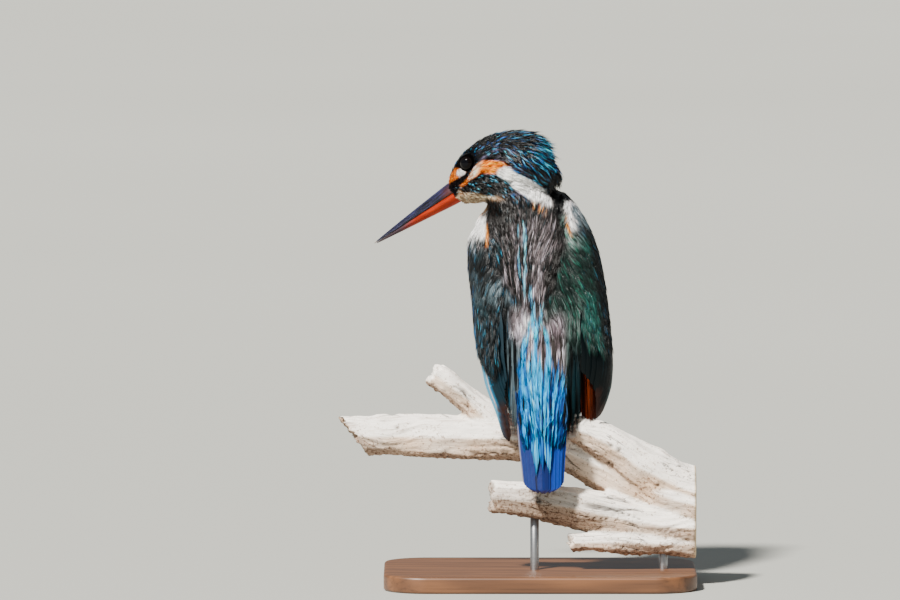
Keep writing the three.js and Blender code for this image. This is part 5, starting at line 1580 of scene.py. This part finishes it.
feet = {"x": {"left": -6.6, "right": 6.6}, "line": {"left": (5.0, 53.0), "right": (4.3, 49.9)},
        "spread": {"left": 1.0, "right": 0.5}, "ankle": 77.0}
toes = [  # turn at the sole, spread along the bough, turn at the tip, thickness
    (1.6, -3.0, 0.32, 1.15), (1.6, 0.0, -0.15, 1.35), (1.6, 2.3, -0.02, 1.2), (1.5, -0.4, 2.65, 1.3)]


# A toe is a tube laid on the wood with pads below and overlapping plates above; a claw is a curved
# cone that leaves the toe's end and hooks down to the wood.
def addFeet():
    skin = Finish("toeSkin", Specular_IOR_Level=0.4)
    grain = skin.grain(skin.place(), 1500.0, 3.0)
    skin.put(Base_Color=skin.mix(grain.ramp(0.35, 0.7), ink("d5492a"), ink("7f1f12")))
    skin.put(Roughness=grain * 0.25 + 0.38)
    skin.put(Normal=skin.bump(grain, 0.1, 0.6))
    horn = Finish("clawHorn", Coat_Weight=0.3, Coat_Roughness=0.25)
    lines = horn.grain(horn.place(), 700.0, 3.0)
    horn.put(Base_Color=horn.mix(lines, ink("0e0b0b"), ink("3a2f2b")))
    horn.put(Roughness=lines * 0.2 + 0.25)
    around = circle(20)
    for name, hand in (("left", -1), ("right", 1)):
        x = feet["x"][name]
        cy, cz = feet["line"][name]
        close = feet["spread"][name]
        parts, claws = [], []
        for start, spread, end, thick in toes:
            t = np.linspace(0, 1, 40)
            turn = start + (end - start) * t * 0.86
            course = joined(x + close * spread * hand * np.minimum(0.35 + t, 1), cy + 14 * np.cos(turn),
                            cz + 14 * np.sin(turn))
            near, normal = woodSurface.touch(course)
            normal = unit(course - near)
            joints = 1 + 0.10 * np.cos(2 * np.pi * 3.0 * t) ** 2
            rounded = np.where(t > 0.93, np.sqrt(np.clip(1 - ((t - 0.93) / 0.085) ** 2, 0.03, 1)), 1)
            radius = thick * (1 - 0.22 * t) * joints * rounded
            course = near + normal * (radius * 0.82)[:, None]
            course = np.stack([np.convolve(np.pad(c, 3, "edge"), np.ones(7) / 7, "valid") for c in course.T], -1)
            tangent = unit(np.gradient(course, axis=0))
            side = square(np.cross(tangent, normal), tangent)
            lift = np.cross(tangent, side)
            lift = lift * np.sign((lift * normal).sum(-1, keepdims=True))
            plates = 0.07 * np.abs((t[:, None] * 13) % 1 - 0.5) * smooth(np.sin(around), 0.0, 0.5)
            bumps = 0.06 * np.sin(t[:, None] * 44) * np.sin(around * 7) * smooth(-np.sin(around), 0, 0.5)
            size = radius[:, None] + plates + bumps
            parts.append(tubeMesh(ringsRound(course[:, None], side[:, None], lift[:, None], size, size * 0.95, around)))
            s = np.linspace(0, 1, 14)[:, None]
            base, forward, up = course[-3], tangent[-3], lift[-3]
            hook = base + forward * (3.3 * np.sin(s * 1.25)) + up * (0.25 - 1.9 * s ** 2 + 0.35 * s)
            claw = 0.62 * (1 - s) ** 0.8 + 0.04
            claws.append(tubeMesh(ringsRound(hook[:, None], side[-3], up, claw * 0.8, claw, around)))
        t = np.linspace(0, 1, 26)
        sole, _ = woodSurface.touch(np.array([[x, cy + 0.2, cz + 14]]))
        high = feet["ankle"]
        course = joined(x - 0.6 * hand * (1 - t), cy + 0.2, high + (sole[0, 2] + 0.9 - high) * t)
        radius = 1.45 + 0.65 * smooth(t, 0.6, 1.0) - 0.15 * np.sin(np.pi * t)
        size = radius[:, None] + 0.08 * np.abs((t[:, None] * 9) % 1 - 0.5) * smooth(np.sin(around), -0.2, 0.5)
        parts.append(tubeMesh(ringsRound(course[:, None], xAxis, yAxis, size, size, around)))
        points, faces = joinMeshes(parts)
        foot = recalculated(makePiece(f"toes_{name}", points, faces, skin.material))
        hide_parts(f"foot_{name}")
        points, faces = joinMeshes(claws)
        recalculated(makePiece(f"claws_{name}", points, faces, horn.material))


addFeet()
print("feet made")


stand = {"width": 114, "depth": 78, "thick": 6, "corner": 16, "bevel": 1.0,
         "rods": {"stand_rod_left": (-2, -8.4, 27), "stand_rod_right": (45, -5.5, 17)}, "rod": 1.6}


# The base is a stack of rounded rectangles: its outline drawn in by a quarter circle at each edge.
def addStand():
    s = stand
    turn = circle(160)
    quarter = np.linspace(0, np.pi / 2, 6)
    inset = np.concatenate([s["bevel"] * (1 - np.sin(quarter)), s["bevel"] * (1 - np.cos(quarter))])
    high = np.concatenate([s["bevel"] * (1 - np.cos(quarter)), s["thick"] - s["bevel"] * (1 - np.sin(quarter))])
    inset = np.concatenate([[12, 3], inset, [3, 12]])
    high = np.concatenate([[0, 0], high, [s["thick"], s["thick"]]])
    w, d = s["width"] / 2 - s["corner"], s["depth"] / 2 - s["corner"]
    cx, cy = np.where(np.cos(turn) > 0, w, -w), np.where(np.sin(turn) > 0, d, -d)
    radius = s["corner"] - np.minimum(inset, 15.5)[:, None]
    points, faces = tubeMesh(joined(cx + radius * np.cos(turn), cy + radius * np.sin(turn), high[:, None]))
    finish = Finish("walnutPlinth", Coat_Weight=0.15, Coat_Roughness=0.35)
    place = finish.place()
    bend = finish.grain(finish.stretch(place, (9.0, 40.0, 40.0)), 1.0, 3.0)
    grain = finish.grain(finish.stretch(place, (26.0, 900.0, 900.0)), 1.0, 6.0, 0.6)
    rings = (finish.parts(place)[1] * 620.0 + bend * 22.0).sine()
    stain = finish.mix(rings * 0.5 + 0.5, ink("5a3a24"), ink("70492d"))
    finish.put(Base_Color=finish.mix(grain.ramp(0.45, 0.75) * 0.7, stain, ink("37210f")))
    finish.put(Roughness=grain * 0.25 + 0.33)
    finish.put(Normal=finish.bump(grain, 0.06, 0.5))
    base = recalculated(makePiece("plinth", points, faces, finish.material))
    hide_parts("stand_base")

    steel = Finish("brushedRod", Metallic=1.0)
    brush = steel.grain(steel.stretch(steel.place(), (300.0, 300.0, 9000.0)), 1.0, 4.0)
    steel.put(Base_Color=steel.mix(brush, ink("9a9c9f"), ink("c4c6c8")))
    steel.put(Roughness=brush * 0.2 + 0.25)
    steel.put(Normal=steel.bump(brush, 0.02, 0.4))
    for name, (x, y, top) in s["rods"].items():
        level, drawnIn = np.array([(3, 0.3), (3.3, 0), (s["thick"] - 0.1, 0), (s["thick"] + 0.9, 0),
                                   (top - 0.4, 0), (top, 0.4)]).T
        radius = (s["rod"] - drawnIn)[:, None]
        course = np.array([x, y, 0.0]) + level[:, None, None] * zAxis
        points, faces = tubeMesh(ringsRound(course, xAxis, yAxis, radius, radius, circle(48)))
        rod = recalculated(makePiece(name.replace("stand_", "steel_"), points, faces, steel.material))
        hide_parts(name)


addStand()
print("stand made")


for surface in [skinSurface, woodSurface, *partSurfaces.values()]:
    surface.drop()
